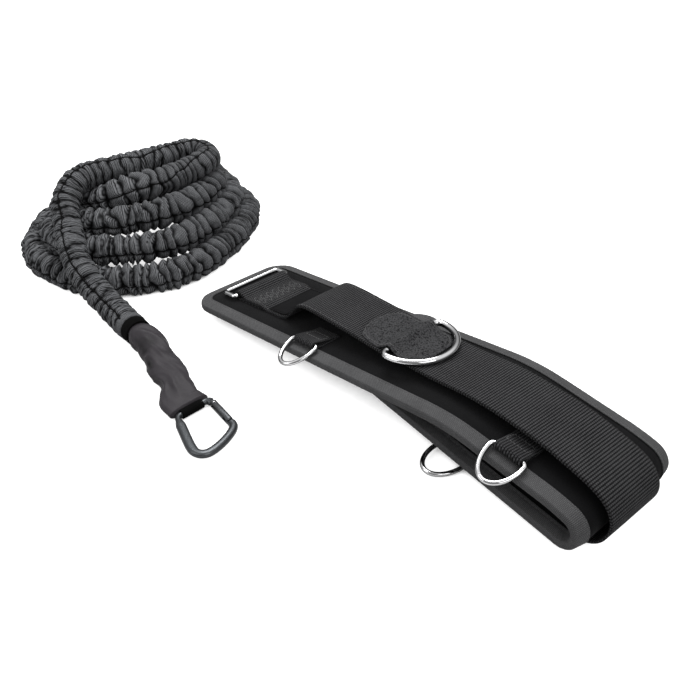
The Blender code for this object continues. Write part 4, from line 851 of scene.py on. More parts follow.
def makeSleeve():
    route, leadFrom = cordRoute()
    total = lengthOf(route)
    places = np.linspace(0.0, total, int(total / sleeve["step"]))
    centres = atLengths(route, places)
    _, right, up = tubeFrames(centres)
    angles = fullTurn(sleeve["sides"])
    onLeadAt = ease((places - leadFrom + sleeve["settle"] / 2) / sleeve["settle"])
    onLead = onLeadAt[:, None]
    s, a = np.meshgrid(places, angles, indexing="ij")
    spots = np.stack([s, np.cos(a), np.sin(a)], axis=-1) * np.array(sleeve["broadScale"])
    broad = noiseAt(spots)
    close = noiseAt(spots * np.array(sleeve["closeScale"]) + sleeve["closeSeed"])
    phase, count = puffPhases(places, angles, onLeadAt, total)
    phase = np.maximum(phase + sleeve["warp"] * broad + sleeve["closeWarp"] * close, 0.0)
    roll = np.abs(np.sin(math.pi * phase)) ** sleeve["sharpness"]
    # Shorter creases that fork off inside a puff over part of its way round
    index = np.clip(np.floor(phase).astype(int), 0, count - 1)
    forked = (rng.random(count) < sleeve["forkShare"])[index]
    middle = (sleeve["forkMiddle"][0] + sleeve["forkMiddle"][1] * rng.random(count))[index]
    facing = (2 * math.pi * rng.random(count))[index]
    beside = (phase - index) - middle - sleeve["forkWander"] * np.sin(a - facing)
    near = np.exp(-(beside / sleeve["forkWidth"]) ** 2)
    roll -= sleeve["forkDepth"] * near * forked * ease(np.cos(a - facing) * sleeve["forkReach"])
    size = (1 + sleeve["sizeSpread"] * (rng.random(count) * 2 - 1))[index]
    valley = sleeve["valley"] * (1 - onLead) + sleeve["leadValley"] * onLead
    puff = sleeve["puff"] * (1 - onLead) + sleeve["leadPuff"] * onLead
    radius = valley + puff * roll * size * (1 + sleeve["swell"] * broad)
    radius += sleeve["wrinkle"] * close * (1 - sleeve["leadWrinkle"] * onLead)
    turned = sleeve["pleatWarp"] * broad + sleeve["pleatTwist"] * np.sin(3 * a)
    radius += sleeve["fine"] * np.sin(2 * math.pi * s / sleeve["finePitch"] + turned)
    # The seam pulls the cloth in along one wavering line
    face = np.radians(np.interp(places, sleeve["seamPlaces"], sleeve["seamAngles"]))
    corners = np.arange(0.0, total + sleeve["seamPitch"] * 2, sleeve["seamPitch"])
    seam = face + np.interp(places, corners, (rng.random(len(corners)) * 2 - 1) * sleeve["seamSwing"])
    away = np.angle(np.exp(1j * (a - seam[:, None])))
    dip = np.exp(-(away / sleeve["seamWidth"]) ** 2) * (1 - sleeve["leadSeam"] * onLead)
    radius -= sleeve["seamDip"] * dip
    held = ease(np.minimum(s, total - s) / (sleeve["endReach"] * 3))
    radius = radius * held + sleeve["endRadius"] * (1 - held)
    radius = np.minimum(radius, sleeve["most"])
    points = centres[:, None] + radius[..., None] * roundLine(a, right, up)
    keepAbove(points, sleeve["floor"])
    # The elastic core runs on through both wraps
    farLine, farRings, farSpread = coreTube(ends["far"], angles, -1)
    nearLine, nearRings, nearSpread = coreTube(ends["near"], angles, 1)
    whole = np.concatenate([farLine, centres, nearLine])
    around = np.append(angles, 2 * math.pi) * sleeve["diameter"] / 2
    uv = gridUv(lengthsAlong(whole) * sleeve["uvStretch"], around)
    spread = np.concatenate([farSpread, radius, nearSpread])
    uv[..., 0] += np.pad(spread, ((0, 0), (0, 1)), mode="wrap")
    points = np.concatenate([farRings, points, nearRings])
    piece = gridPiece("gatheredSleeve", points, cloths["sleeve"], uv)
    # Painted shade: the crown mask drops in the creases between puffs, and the material darkens the cloth
    # there
    crown = ease((radius - valley - puff * sleeve["crownFrom"]) / (puff * sleeve["crownRun"]))
    setCrown(piece, np.concatenate([np.ones_like(farSpread), crown, np.ones_like(nearSpread)]))
    dress(piece, rootBody, "sleeve_fabric", "cord_coil", "cord_lead")
    # Seam thread, along the dip
    column = (seam % (2 * math.pi)) / (2 * math.pi) * len(angles)
    low = np.floor(column).astype(int) % len(angles)
    rows = np.arange(len(places))
    share = column - np.floor(column)
    deep = radius[rows, low] * (1 - share) + radius[rows, (low + 1) % len(angles)] * share
    line = centres + deep[:, None] * (np.cos(seam)[:, None] * right + np.sin(seam)[:, None] * up)
    line = line[sleeve["threadTrim"]:-sleeve["threadTrim"]:2]
    keepAbove(line, sleeve["seamThread"])
    thread = tube("seamThread", line, sleeve["seamThread"], cloths["thread"], sleeve["threadSides"])
    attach(thread, rootBody)
    return piece, thread, whole


gathered, seamThread, cordLine = makeSleeve()


# Ends of the cord: hem, cloth wrap, webbing loop and carabiner

clip = {
    "rod": 0.0054, "ahead": 0.0038, "height": 0.0050, "gateRod": 0.0074, "hinge": (0.0090, 0.0176),
    "spineWidth": 0.0088, "spineHeight": 0.0062, "spineRun": 0.040, "noseWidth": 0.0078,
    "tongueThickness": 0.0026, "tongueWidth": 0.0064, "tongueLength": 0.0052, "step": 0.0007, "sides": 28,
    "perSpan": 10, "shoulder": 1e-4, "mostFlat": 0.35, "squareness": 0.4, "edge": 0.0003, "pinEdge": 0.0002,
    "route": (
        (0.0090, 0.0176), (0.0055, 0.0178), (0.0024, 0.0172), (0.0005, 0.0152), (0.0000, 0.0125),
        (0.0000, 0.0), (0.0000, -0.0115), (0.0006, -0.0140), (0.0026, -0.0162), (0.0060, -0.0178),
        (0.0180, -0.0224), (0.0320, -0.0278), (0.0410, -0.0308), (0.0470, -0.0316), (0.0520, -0.0298),
        (0.0550, -0.0258), (0.0556, -0.0210), (0.0549, -0.0145), (0.0530, -0.0065), (0.0500, 0.0015),
        (0.0465, 0.0080), (0.0432, 0.0112), (0.0390, 0.0125), (0.0340, 0.0133),
    ),
}


def makeWrap(name, end):
    away, centres = end["away"], end["line"]
    ahead, side, up = flatFrames(centres)
    angles = fullTurn(wrap["sides"])
    u, a = np.meshgrid(away, angles, indexing="ij")
    bunched = np.interp(u, *zip(*wrap["bunched"]))
    # Folds run slantwise round the cloth, and cross smaller ones
    twist = u * wrap["twist"] + wrap["wander"][0] * np.sin(a - u * wrap["wander"][1])
    around = wrap["roundScale"]
    spots = np.stack([twist + end["seed"], np.cos(a) * around, np.sin(a) * around], axis=-1)
    fold = 1 - wrap["foldDepth"] * np.abs(noiseAt(spots))
    small = noiseAt(spots * np.array(wrap["creaseScale"]) + wrap["creaseSeed"])
    grow = (wrap["fold"] * (fold - wrap["foldMiddle"]) + wrap["crease"] * small) * bunched
    corner = 1 + wrap["square"] * np.sin(2 * a) ** 2
    sway = wrap["sway"] * bunched[:, 0] * np.sin(away * wrap["swayScale"] + end["seed"])
    across = (end["width"][:, None] / 2 * corner + grow) * np.cos(a) + sway[:, None]
    over = (end["height"][:, None] / 2 * corner + grow) * np.sin(a)
    points = centres[:, None] + across[..., None] * side[:, None] + over[..., None] * up[:, None]
    keepAbove(points, wrap["floor"])
    uv = gridUv(away, np.append(angles, 2 * math.pi) * wrap["radius"])
    made = gridPiece(name, points, cloths["wrap"], uv)
    # Painted shade: the crown mask drops in the deep folds where the cloth is bunched, and the material
    # darkens it there
    deep, level = wrap["paintedFoldShade"]
    setCrown(made, 1 - deep * bunched * ease((level - fold) / deep))
    return made, ahead[-1], side[-1], up[-1]


def clipSection(place, total):
    fromEnd = total - place
    if min(place, fromEnd) < clip["tongueLength"]:
        return clip["tongueWidth"], clip["tongueThickness"]
    baseFrom = clip["tongueLength"] + clip["gateRod"]
    baseTo = baseFrom + 2 * clip["hinge"][1] - clip["gateRod"] / 2
    spineTo = baseTo + clip["spineRun"]
    stations = (clip["tongueLength"], baseFrom, baseTo, baseTo + clip["gateRod"], spineTo,
                spineTo + clip["gateRod"], total)
    rod, gateRod = clip["rod"], clip["gateRod"]
    widths = (gateRod, rod, rod, clip["spineWidth"], clip["spineWidth"], clip["noseWidth"], gateRod)
    heights = (gateRod, rod, rod) + (clip["spineHeight"],) * 3 + (gateRod,)
    return float(np.interp(place, stations, widths)), float(np.interp(place, stations, heights))


def makeClipBody(name, base, ahead, side, up):
    fine = curveThrough([(u, v, 0.0) for u, v in clip["route"]], clip["perSpan"])
    total = lengthOf(fine)
    # Two stations close together at each tongue's root keep its shoulder square
    root, beside = clip["tongueLength"], clip["shoulder"]
    shoulders = [root - beside, root + beside, total - root - beside, total - root + beside]
    places = np.unique(np.concatenate([np.arange(0.0, total, clip["step"]), shoulders, [total]]))
    flat = atLengths(fine, places)
    heading = unit(np.gradient(flat, axis=0))
    outward = np.stack([-heading[:, 1], heading[:, 0]], axis=-1)
    sizes = np.array([clipSection(p, total) for p in places])
    angles = fullTurn(clip["sides"])
    c, s = np.cos(angles)[None], np.sin(angles)[None]
    # Rounded bar, a little squarer where it is flat
    flatness = np.clip((sizes[:, :1] / sizes[:, 1:] - 1) * 0.5, 0.0, clip["mostFlat"])
    corner = 1 + flatness * np.sin(2 * angles)[None] ** 2 * clip["squareness"]
    reach = sizes[:, :1] / 2 * c * corner
    lift = sizes[:, 1:] / 2 * s * corner
    u = flat[:, :1] + outward[:, :1] * reach
    v = flat[:, 1:2] + outward[:, 1:2] * reach
    points = base + u[..., None] * ahead + v[..., None] * side + lift[..., None] * up
    return gridPiece(name, points, metals["gunmetal"])


endPieces = []
for prefix, end in ends.items():
    cloth, ahead, side, up = makeWrap(prefix + "Wrap", end)
    dress(cloth, rootBody, "wrap_cloth", prefix + "_end_wrap")
    soft = clip["edge"]
    hem = dressed(prefix + "Hem", prefix + "_sleeve_hem", cloths["hem"], rootBody, "hem_tape", soft)
    loop = dressed(prefix + "ClipLoop", prefix + "_clip_loop", cloths["hem"], rootBody, "webbing", soft)
    base = end["line"][-1] + ahead * clip["ahead"]
    base[2] = clip["height"]
    bodyPiece = makeClipBody(prefix + "ClipBody", base, ahead, side, up)
    carabiner = prefix + "_carabiner"
    dress(bodyPiece, carabiner, "gunmetal", carabiner + "_body")
    gate = dressed(prefix + "ClipGate", carabiner + "_gate", metals["gunmetal"], prefix + "_gate",
                   "gunmetal", soft, 0)
    pin = dressed(prefix + "GatePin", prefix + "_gate_pin", metals["pin"], carabiner, "pin_steel",
                  clip["pinEdge"], 0)
    endPieces += [cloth, hem, loop, bodyPiece, gate, pin]
print("cord ends made")


# The belt's pad: one padded body, its cover on top and its lining below

belt = {
    "step": 0.0042, "columns": 30, "arc": 7, "crowding": 0.35,
    # Where other pieces hold the cloth, and how strongly
    "heldRim": 0.0125, "soft": 0.004, "strapTo": 0.10, "tabPast": 0.013, "foldPast": 0.03, "foldSoft": 0.02,
    "underHeld": 0.4,
    "pressure": 4.0, "tension": 20.0, "bending": 1.0, "frames": 20, "cap": 0.0009, "tiny": 1e-9,
}


def padSpots():
    # Rows along the pad, close together round its corners, and the same number of columns in each row
    corner, length = pad["corner"], pad["length"] + pad["lead"]
    turn = np.linspace(0.0, math.pi / 2, belt["arc"])
    start = corner * (1 - np.cos(turn))
    middle = np.linspace(corner, length - corner, int((length - 2 * corner) / belt["step"]))
    rows = np.concatenate([start[:-1], middle, length - start[:-1][::-1]])
    past = np.maximum(0.0, np.maximum(corner - rows, rows - (length - corner)))
    low = corner - np.sqrt(np.maximum(corner ** 2 - past ** 2, 0.0))
    share = (1 - np.cos(np.linspace(0.0, math.pi, belt["columns"]))) / 2
    even = np.linspace(0.0, 1.0, belt["columns"])
    share = share * belt["crowding"] + even * (1 - belt["crowding"])
    w = low[:, None] + share[None] * (pad["width"] - 2 * low)[:, None]
    return np.tile(rows[:, None] - pad["lead"], (1, belt["columns"])), w


def rimInset(s, w):
    # Distance in from the pad's outline
    corner = pad["corner"]
    fromStart, fromEnd = s + pad["lead"], pad["length"] - s
    ds = corner - np.minimum(fromStart, fromEnd)
    dw = np.maximum(corner - w, w - (pad["width"] - corner))
    straight = np.minimum(np.minimum(fromStart, fromEnd), np.minimum(w, pad["width"] - w))
    return np.where((ds > 0) & (dw > 0), corner - np.hypot(ds, dw), straight)


def rimShare(inset):
    return np.clip(1 - np.maximum(inset, 0.0) / pad["taper"], 0.0, 1.0)


def makePad():
    s, w = padSpots()
    share = rimShare(rimInset(s, w))
    top = beltPoint(s, w, -pad["drop"] * share)
    bottom = beltPoint(s, w, -pad["thickness"] + pad["rise"] * share)
    rows, columns = s.shape
    count = rows * columns
    verts = np.concatenate([top.reshape(-1, 3), bottom.reshape(-1, 3)])
    spots = np.concatenate([np.stack([s, w], axis=-1).reshape(-1, 2)] * 2)
    i, j = (grid.ravel() for grid in np.meshgrid(np.arange(rows - 1), np.arange(columns - 1), indexing="ij"))
    first = i * columns + j
    upper = np.stack([first, first + columns, first + columns + 1, first + 1], -1)
    lower = upper[:, ::-1] + count
    edge = np.concatenate([
        np.arange(columns), np.arange(1, rows) * columns + columns - 1,
        (rows - 1) * columns + np.arange(columns - 2, -1, -1), np.arange(rows - 2, 0, -1) * columns,
    ])
    following = np.roll(edge, -1)
    wall = np.stack([edge, following, following + count, edge + count], -1)
    quads = np.concatenate([upper, lower, wall])
    made = finishMesh("padBody", verts, quads.tolist(), cloths["cover"], spots[quads])
    made.data.materials.append(cloths["lining"])
    under = np.zeros(len(quads), dtype=np.int32)
    under[len(upper):] = 1
    made.data.polygons.foreach_set("material_index", under)
    bm = bmesh.new()
    bm.from_mesh(made.data)
    if bm.calc_volume(signed=True) < 0:
        bmesh.ops.reverse_faces(bm, faces=bm.faces)
        bm.to_mesh(made.data)
    bm.free()
    # The rim is held by the binding, and the pad under the strap, patch and tabs by what lies on it
    soft = belt["soft"]
    held = ease((belt["heldRim"] - rimInset(s, w)) / soft)
    covered = ease((strap["width"] / 2 + soft - np.abs(w - strap["centre"])) / soft) * (s < belt["strapTo"])
    for place in ringPlaces:
        beside = ease((tab["width"] / 2 + soft - np.abs(s - place)) / soft)
        covered = np.maximum(covered, beside * ease((tab["reach"] + belt["tabPast"] - w) / soft))
    top = np.maximum(held, covered)
    bottom = np.maximum(held, ease((s - foldStart + belt["foldPast"]) / belt["foldSoft"]))
    soften(made, np.concatenate([top.ravel(), np.maximum(bottom, belt["underHeld"]).ravel()]))
    dress(made, rootBody, "cover_fabric", "pad_cover", "foam_core", "pad_lining")


def soften(piece, held):
    # Let the cloth puff a little where nothing holds it, then keep it near where it lay
    rest = np.empty(len(piece.data.vertices) * 3)
    piece.data.vertices.foreach_get("co", rest)
    group = piece.vertex_groups.new(name="held")
    for k, weight in enumerate(held):
        group.add([k], float(weight), "REPLACE")
    cloth = piece.modifiers.new("cloth", "CLOTH")
    cloth.settings.vertex_group_mass = "held"
    cloth.settings.use_pressure = True
    cloth.settings.uniform_pressure_force = belt["pressure"]
    cloth.settings.effector_weights.gravity = 0.0
    cloth.settings.tension_stiffness = belt["tension"]
    cloth.settings.bending_stiffness = belt["bending"]
    cloth.point_cache.frame_start = 1
    cloth.point_cache.frame_end = belt["frames"]
    scene = bpy.context.scene
    for number in range(1, belt["frames"] + 1):
        scene.frame_set(number)
    graph = bpy.context.evaluated_depsgraph_get()
    seen = piece.evaluated_get(graph)
    moved = np.empty(len(rest))
    seen.data.vertices.foreach_get("co", moved)
    piece.modifiers.remove(cloth)
    scene.frame_set(1)
    step = (moved - rest).reshape(-1, 3)
    size = np.linalg.norm(step, axis=1, keepdims=True)
    kept = step * np.minimum(1.0, belt["cap"] / np.maximum(size, belt["tiny"])) * (1 - held[:, None])
    piece.data.vertices.foreach_set("co", rest + kept.ravel())
    piece.data.update()
    print("pad settled, %.2f mm at most" % (1000 * np.linalg.norm(kept, axis=1).max()))

# Edge binding: one tape round the whole rim, drawn in a little at each stitch
binding = {
    "width": 0.0105, "thickness": 0.0011, "step": 0.0016, "turnStep": 0.8, "nose": 7, "lip": 0.001,
    # Places in from the rim where the section has points, and the length of its straight end
    "insets": (0.0088, 0.0082, 0.0076, 0.0060, 0.0040, 0.0020, 0.0006),
    "lowInsets": (0.0006, 0.0040, 0.0076, 0.0082, 0.0088), "end": 0.0004,
    "pucker": 0.00016, "puckerPitch": 0.0046, "puckerWander": 2.0, "ripple": 0.00045, "shares": (0.6, 0.4),
    "quick": 120.0, "slow": 38.0, "slowSeed": 7.0, "loose": 0.003, "tight": 0.15, "sunk": 0.0002,
    "floor": 0.0001, "threadFloor": 0.0005, "stitchInset": 0.0082, "stitchWidth": 0.0006, "dip": 0.00035,
}


def outlineSpots():
    # Points round the pad's outline, the inward direction at each, and the distance along it
    corner, width, step = pad["corner"], pad["width"], binding["step"]
    length = pad["length"] + pad["lead"]
    turns = np.linspace(0.0, math.pi / 2, int(corner * math.pi / 2 / (step * binding["turnStep"])),
                        endpoint=False)
    spots, inward = [], []
    origin, ahead = np.array([0.0, 0.0]), np.array([1.0, 0.0])
    for run in (length, width, length, width):
        aside = np.array([-ahead[1], ahead[0]])
        places = np.linspace(corner, run - corner, int((run - 2 * corner) / step), endpoint=False)
        for place in places:
            spots.append(origin + ahead * place)
            inward.append(aside)
        middle = origin + ahead * (run - corner) + aside * corner
        for a in turns:
            inward.append(aside * math.cos(a) - ahead * math.sin(a))
            spots.append(middle - inward[-1] * corner)
        origin = origin + ahead * run
        ahead = aside
    spots = np.array(spots) - (pad["lead"], 0.0)
    steps = np.linalg.norm(np.roll(spots, -1, axis=0) - spots, axis=1)
    return spots, np.array(inward), summed(steps)


def makeBinding():
    spots, inward, places = outlineSpots()
    out, gap, wide = binding["thickness"], pad["gap"], binding["width"]
    top, bottom = gap, -pad["thickness"] - gap
    section = [(inset, top + out, 1.0) for inset in (wide, wide - binding["end"]) + binding["insets"]]
    high, low = top + out - pad["drop"], bottom - out + pad["rise"]
    for a in np.linspace(math.pi / 2, -math.pi / 2, binding["nose"] * 2 + 1):
        section.append((-(gap + out) * math.cos(a), (high + low) / 2 + (high - low) / 2 * math.sin(a), 0.0))
    lowInsets = binding["lowInsets"] + (wide - binding["end"], wide)
    section += [(inset, bottom - out, -1.0) for inset in lowInsets]
    section += [(wide, bottom, -1.0), (-gap, bottom, -1.0), (-gap, top, 1.0), (wide, top, 1.0)]
    inset, height, face = (np.array(column) for column in zip(*section))
    change = np.where(face > 0, -pad["drop"] * rimShare(inset), 0.0)
    change = np.where(face < 0, pad["rise"] * rimShare(inset), change)
    height = height + change
    along = places[:-1, None]
    quick = noiseAt(along * (binding["quick"], 0.0, 0.0))[:, None]
    slow = noiseAt(along * (binding["slow"], 0.0, 0.0) + (0.0, binding["slowSeed"], 0.0))[:, None]
    outer = np.arange(len(section)) < len(section) - 4
    turned = 2 * math.pi * along / binding["puckerPitch"] + binding["puckerWander"] * quick
    free = np.clip((wide - inset) / binding["loose"], binding["tight"], 1.0)[None]
    ripple = binding["shares"][0] * quick + binding["shares"][1] * slow
    lift = (binding["pucker"] * np.sin(turned) + binding["ripple"] * ripple) * free
    stitched = np.exp(-((inset - binding["stitchInset"]) / binding["stitchWidth"]) ** 2) * (face != 0)
    lift = np.maximum(lift, -binding["sunk"]) - binding["dip"] * stitched[None]
    lift = lift * outer[None]
    insets = inset[None] - (face == 0)[None] * np.maximum(lift, 0.0)
    heights = height[None] + lift * face[None]
    s = spots[:, :1] + inward[:, :1] * insets
    w = spots[:, 1:] + inward[:, 1:] * insets
    points = beltPoint(s, w, heights)
    keepAbove(points, binding["floor"])
    around = summed(np.hypot(np.diff(inset), np.diff(height)))
    uv = gridUv(places, np.append(around, around[-1] + binding["lip"]))
    made = gridPiece("edgeBinding", points, cloths["binding"], uv, closedRows=True)
    dress(made, rootBody, "binding_tape", "upper_edge_binding", "near_fold_binding", "far_fold_binding",
          "lower_edge_binding")


ringPlaces = (0.153, 0.376, 0.586)
tab = {"width": 0.025, "thickness": 0.0012, "reach": 0.030}
makePad()
makeBinding()
print("pad and binding made")


# Waist strap: the same edge lines as the solid's, on finer steps, with a rounded woven section

webbing = {
    "columns": 22, "edge": 4, "perSpan": 14, "tailSteps": 60, "turn": math.radians(5), "tiny": 1e-9,
    "lip": 0.001,
    # Shares of its lengths at which it leaves the bar, comes down, lies on itself and steps off
    "leave": (0.72, 2.4, 0.65, 0.6),
    "wave": 0.00035, "proud": 0.6, "noise": (30.0, 1.1, 5.0), "freeFrom": 0.075, "freeSoft": 0.03,
    "heldTail": 0.24, "heldSoft": 0.05,
}


def thinOut(points, turnLimit, longLimit):
    # Places of a fine line that its bends need
    kept, heading, since = [0], None, 0.0
    for i in range(1, len(points) - 1):
        step = points[i] - points[i - 1]
        size = float(np.linalg.norm(step))
        since += size
        if size < webbing["tiny"]:
            continue
        step = step / size
        if heading is None:
            heading = step
        turned = math.acos(min(1.0, float(step @ heading)))
        if turned >= turnLimit or since >= longLimit:
            kept.append(i)
            heading, since = step, 0.0
    return kept + [len(points) - 1]


def strapLines():
    # The near and far edge of the webbing, from its short end under the bar to its tail
    barPlace = strap["barPlace"]
    lie = pad["gap"] + strap["thickness"] / 2
    around = strap["wire"] / 2 + pad["gap"] + strap["thickness"] / 2
    over = lie + strap["thickness"] + pad["gap"]
    end = barPlace + strap["underLength"]
    flat = [(end, lie), ((end + barPlace) / 2, lie)]
    for a in np.radians(np.linspace(-90.0, -270.0, 9)):
        flat.append((barPlace + around * math.cos(a), buckleBar + around * math.sin(a)))
    leave, settle, lay, step = webbing["leave"]
    flat += [
        (barPlace + strap["wire"], buckleBar + around * leave),
        (barPlace + strap["wire"] * settle, over + pad["gap"]),
        (barPlace + strap["underLength"] * lay, over),
        (end + strap["thickness"] * step, over),
        (end + strap["thickness"] * 4, lie),
    ]
    flat += [(place, lie + lift * strap["rise"]) for place, lift in strap["lifts"]]
    lift = strap["lifts"][-1][1] * strap["rise"]
    fold = foldEnd - foldStart
    flat += [(foldStart + share * fold, lie + lift * kept) for share, kept in strap["foldLifts"]]
    fine = curveThrough(flat, webbing["perSpan"])
    s, h = fine[:, 0], fine[:, 1]
    h = np.where(s > end, np.maximum(h, lie), h)
    centre = strap["centre"] + strap["foldShift"] * np.interp(s, *zip(*strap["shifts"]))
    near = beltPoint(s, centre - strap["width"] / 2, h)
    far = beltPoint(s, centre + strap["width"] / 2, h)
    tail = np.linspace(s[-1], pad["length"] - strap["tailReach"], webbing["tailSteps"])[1:]
    lowest = strap["thickness"] / 2
    lines = []
    for line, side in ((near, -1), (far, 1)):
        w = strap["centre"] + strap["foldShift"] + side * strap["width"] / 2
        laid = beltPoint(tail, w, 0.0)
        laid[:, 2] = lowest
        whole = np.concatenate([line, laid])
        keepAbove(whole, lowest)
        lines.append(whole)
    kept = thinOut((lines[0] + lines[1]) / 2, webbing["turn"], strap["step"])
    return lines[0][kept], lines[1][kept]


def makeStrap():
    near, far = strapLines()
    middle = (near + far) / 2
    places = lengthsAlong(middle)
    ahead = unit(np.gradient(middle, axis=0))
    across = unit(far - near)
    out = unit(np.cross(ahead, across))
    half = np.linalg.norm(far - near, axis=1) / 2
    # Section: flat faces and rounded edges
    thick = strap["thickness"] / 2
    run = np.linspace(-1.0, 1.0, webbing["columns"])
    turn = np.linspace(math.pi / 2, -math.pi / 2, webbing["edge"] + 2)[1:-1]
    aside = np.concatenate([run, 1 + 0 * turn, run[::-1], -1 - 0 * turn])
    reach = np.concatenate([0 * run, thick * (np.cos(turn) - 1), 0 * run, -thick * (np.cos(turn) - 1)])
    height = np.concatenate([0 * run + thick, thick * np.sin(turn), 0 * run - thick, -thick * np.sin(turn)])
    # The cloth isn't quite flat: slow waves run along it, and between its ends it stands a little proud
    along, acrossScale, seed = webbing["noise"]
    spots = np.stack(np.broadcast_arrays(places[:, None] * along, aside[None] * acrossScale, seed), axis=-1)
    free = ease((places - webbing["freeFrom"]) / webbing["freeSoft"])
    free = free * (1 - ease((places - places[-1] + webbing["heldTail"]) / webbing["heldSoft"]))
    waves = webbing["wave"] * (noiseAt(spots) + webbing["proud"]) * free[:, None]
    offset = aside[None] * half[:, None] + reach[None]
    points = (middle[:, None] + offset[..., None] * across[:, None]
              + (height[None] + waves)[..., None] * out[:, None])
    keepAbove(points, 0.0)
    around = summed(np.hypot(np.diff(aside) * strap["width"] / 2, np.diff(height)))
    uv = gridUv(places, np.append(around, around[-1] + webbing["lip"]))
    made = gridPiece("wovenStrap", points, cloths["webbing"], uv)
    return dress(made, rootBody, "webbing", "waist_strap", "strap_tail")


# Stitches: short rounded bars of thread, laid along lines of points and normals on the cloth

stitch = {
    "sides": 6, "above": 0.3, "rise": 0.0001,
    # Along one bar of thread: where its rings stand, how thick they are and how high
    "places": (0.0, 0.14, 0.5, 0.86, 1.0), "swell": (0.35, 0.85, 1.0, 0.85, 0.35),
    "sink": (-1.2, 0.1, 0.30, 0.1, -1.2),
}


def drape(tree, spots):
    # Points and normals where a line of places, seen from above, meets the pieces in the tree
    points, normals = [], []
    for x, y in spots:
        place, normal, _, _ = tree.ray_cast(Vector((x, y, stitch["above"])), Vector((0.0, 0.0, -1.0)))
        if place is None:
            continue
        points.append(np.array(place + normal * stitch["rise"]))
        normals.append(np.array(normal))
    return np.array(points), np.array(normals)


def stitchBar(start, end, up, radius):
    # One thread between two holes, thick in the middle and dipping into the cloth at both ends
    places, swell, sink = (np.array(stitch[name]) for name in ("places", "swell", "sink"))
    ahead = unit(end - start)
    side = unit(np.cross(up, ahead))
    top = np.cross(ahead, side)
    middle = start[None] + places[:, None] * (end - start)[None] + (sink * radius)[:, None] * top[None]
    count = stitch["sides"]
    ring = roundLine(fullTurn(count), side[None], top[None])
    points = (middle[:, None] + radius * swell[:, None, None] * ring).reshape(-1, 3)
    quads = []
    for i in range(len(places) - 1):
        for k in range(count):
            m = (k + 1) % count
            quads.append((i * count + k, i * count + m, (i + 1) * count + m, (i + 1) * count + k))
    quads.append(tuple(range(count))[::-1])
    quads.append(tuple(range((len(places) - 1) * count, len(places) * count)))
    return points, quads


def sew(name, lines, finish, radius, length, gap):
    # Many bars of thread as one piece: a list of points and one of faces for each
    verts, faces = [], []
    for points, normals in lines:
        if len(points) < 2:
            continue
        along = lengthsAlong(points)
        count = max(1, round(along[-1] / (length + gap)))
        pitch = along[-1] / count
        for k in range(count):
            start, end = atLengths(points, [k * pitch, (k + 1) * pitch - gap])
            up = [np.interp((k + 0.5) * pitch, along, normals[:, axis]) for axis in range(3)]
            bar, quads = stitchBar(start, end, np.array(up), radius)
            faces += [tuple(len(verts) + corner for corner in quad) for quad in quads]
            verts += list(bar)
    made = finishMesh(name, np.array(verts), faces, cloths[finish])
    bm = bmesh.new()
    bm.from_mesh(made.data)
    bmesh.ops.recalc_face_normals(bm, faces=bm.faces)
    bm.to_mesh(made.data)
    bm.free()
    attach(made, rootBody)


wovenStrap = makeStrap()
print("strap made")


# Label, ring patch, hook panel and ring tabs, with the rows of stitches that hold them

label = {"start": 0.0730, "length": 0.035, "width": 0.055, "border": 0.0022, "steps": 40}
patch = {
    "start": 0.188, "end": 0.264, "width": 0.056, "corner": 0.020, "margin": 0.0008, "border": 0.0022,
    "tooth": 0.0017, "toothPitch": 0.0030, "steps": 240, "crowding": 1.6,
}
crossing = {
    "start": 0.0445, "middle": 0.0535, "end": 0.0625, "pitch": 0.0072, "apart": 0.0013, "inset": 0.004,
    "beside": 0.0012, "steps": 12, "longSteps": 60,
}
edgeRow = {"start": 0.066, "end": 0.182, "inset": 0.0032, "steps": 90}
tabBox = {"corners": (-0.0098, 0.0098, 0.0175, 0.0275), "steps": 16}
# Radius, length and gap of the stitches in each row
threads = {
    "label": (0.00028, 0.0022, 0.0009), "patch": (0.00034, 0.0020, 0.0003),
    "cross": (0.00036, 0.0026, 0.0008), "strapEdge": (0.0003, 0.0026, 0.0010),
    "tab": (0.0003, 0.0024, 0.0008), "binding": (0.00026, 0.0024, 0.0012),
}


def fromAbove(spots):
    # From the belt's own axes to the frame's
    return [(x - shift[0], y - shift[1]) for x, y in spots]


def smallPiece(name, node, finish, slotName, rounding=0.0003):
    return dressed(name, node, cloths[finish], rootBody, slotName, rounding, 2)


def patchHalf(x):
    # Half the patch's width at a place: its rounded end, and the room inside the large ring
    past = max(0.0, patch["corner"] - (x - patch["start"]))
    half = patch["width"] / 2 - patch["corner"] + math.sqrt(max(patch["corner"] ** 2 - past ** 2, 0.0))
    ring = rings["large_d_ring"]
    bow = ring["depth"] - ring["corner"] - ring["wire"] / 2 - patch["margin"]
    share = min(max((x - ring["bar"] - ring["corner"]) / bow, 0.0), 1.0)
    inside = (ring["span"] / 2 - ring["wire"] / 2 - patch["margin"]) * math.sqrt(1 - share ** 2)
    return min(half, inside)


def patchBorder():
    # A toothed line just inside the patch's edge
    inner = patch["end"] - patch["start"] - 2 * patch["border"]
    shares = np.linspace(0.0, 1.0, patch["steps"]) ** patch["crowding"]
    run = patch["start"] + patch["border"] + shares * inner
    far, near = ([(x, strap["centre"] + side * (patchHalf(x) - patch["border"])) for x in run]
                 for side in (1, -1))
    whole = np.array(near[::-1] + far)
    count = int(lengthOf(whole) / patch["toothPitch"] * 2)
    line = atLengths(whole, np.linspace(0.0, lengthOf(whole), count))
    heading = unit(np.gradient(line, axis=0))
    inward = np.stack([heading[:, 1], -heading[:, 0]], axis=-1)
    return line + inward * ((np.arange(count) % 2) * patch["tooth"])[:, None]


def straight(start, end, count):
    return [(start[0] + (end[0] - start[0]) * t, start[1] + (end[1] - start[1]) * t)
            for t in np.linspace(0.0, 1.0, count)]


def rectangle(x0, x1, y0, y1, count):
    corners = [(x0, y0), (x1, y0), (x1, y1), (x0, y1), (x0, y0)]
    return [spot for pair in zip(corners, corners[1:]) for spot in straight(*pair, count)]


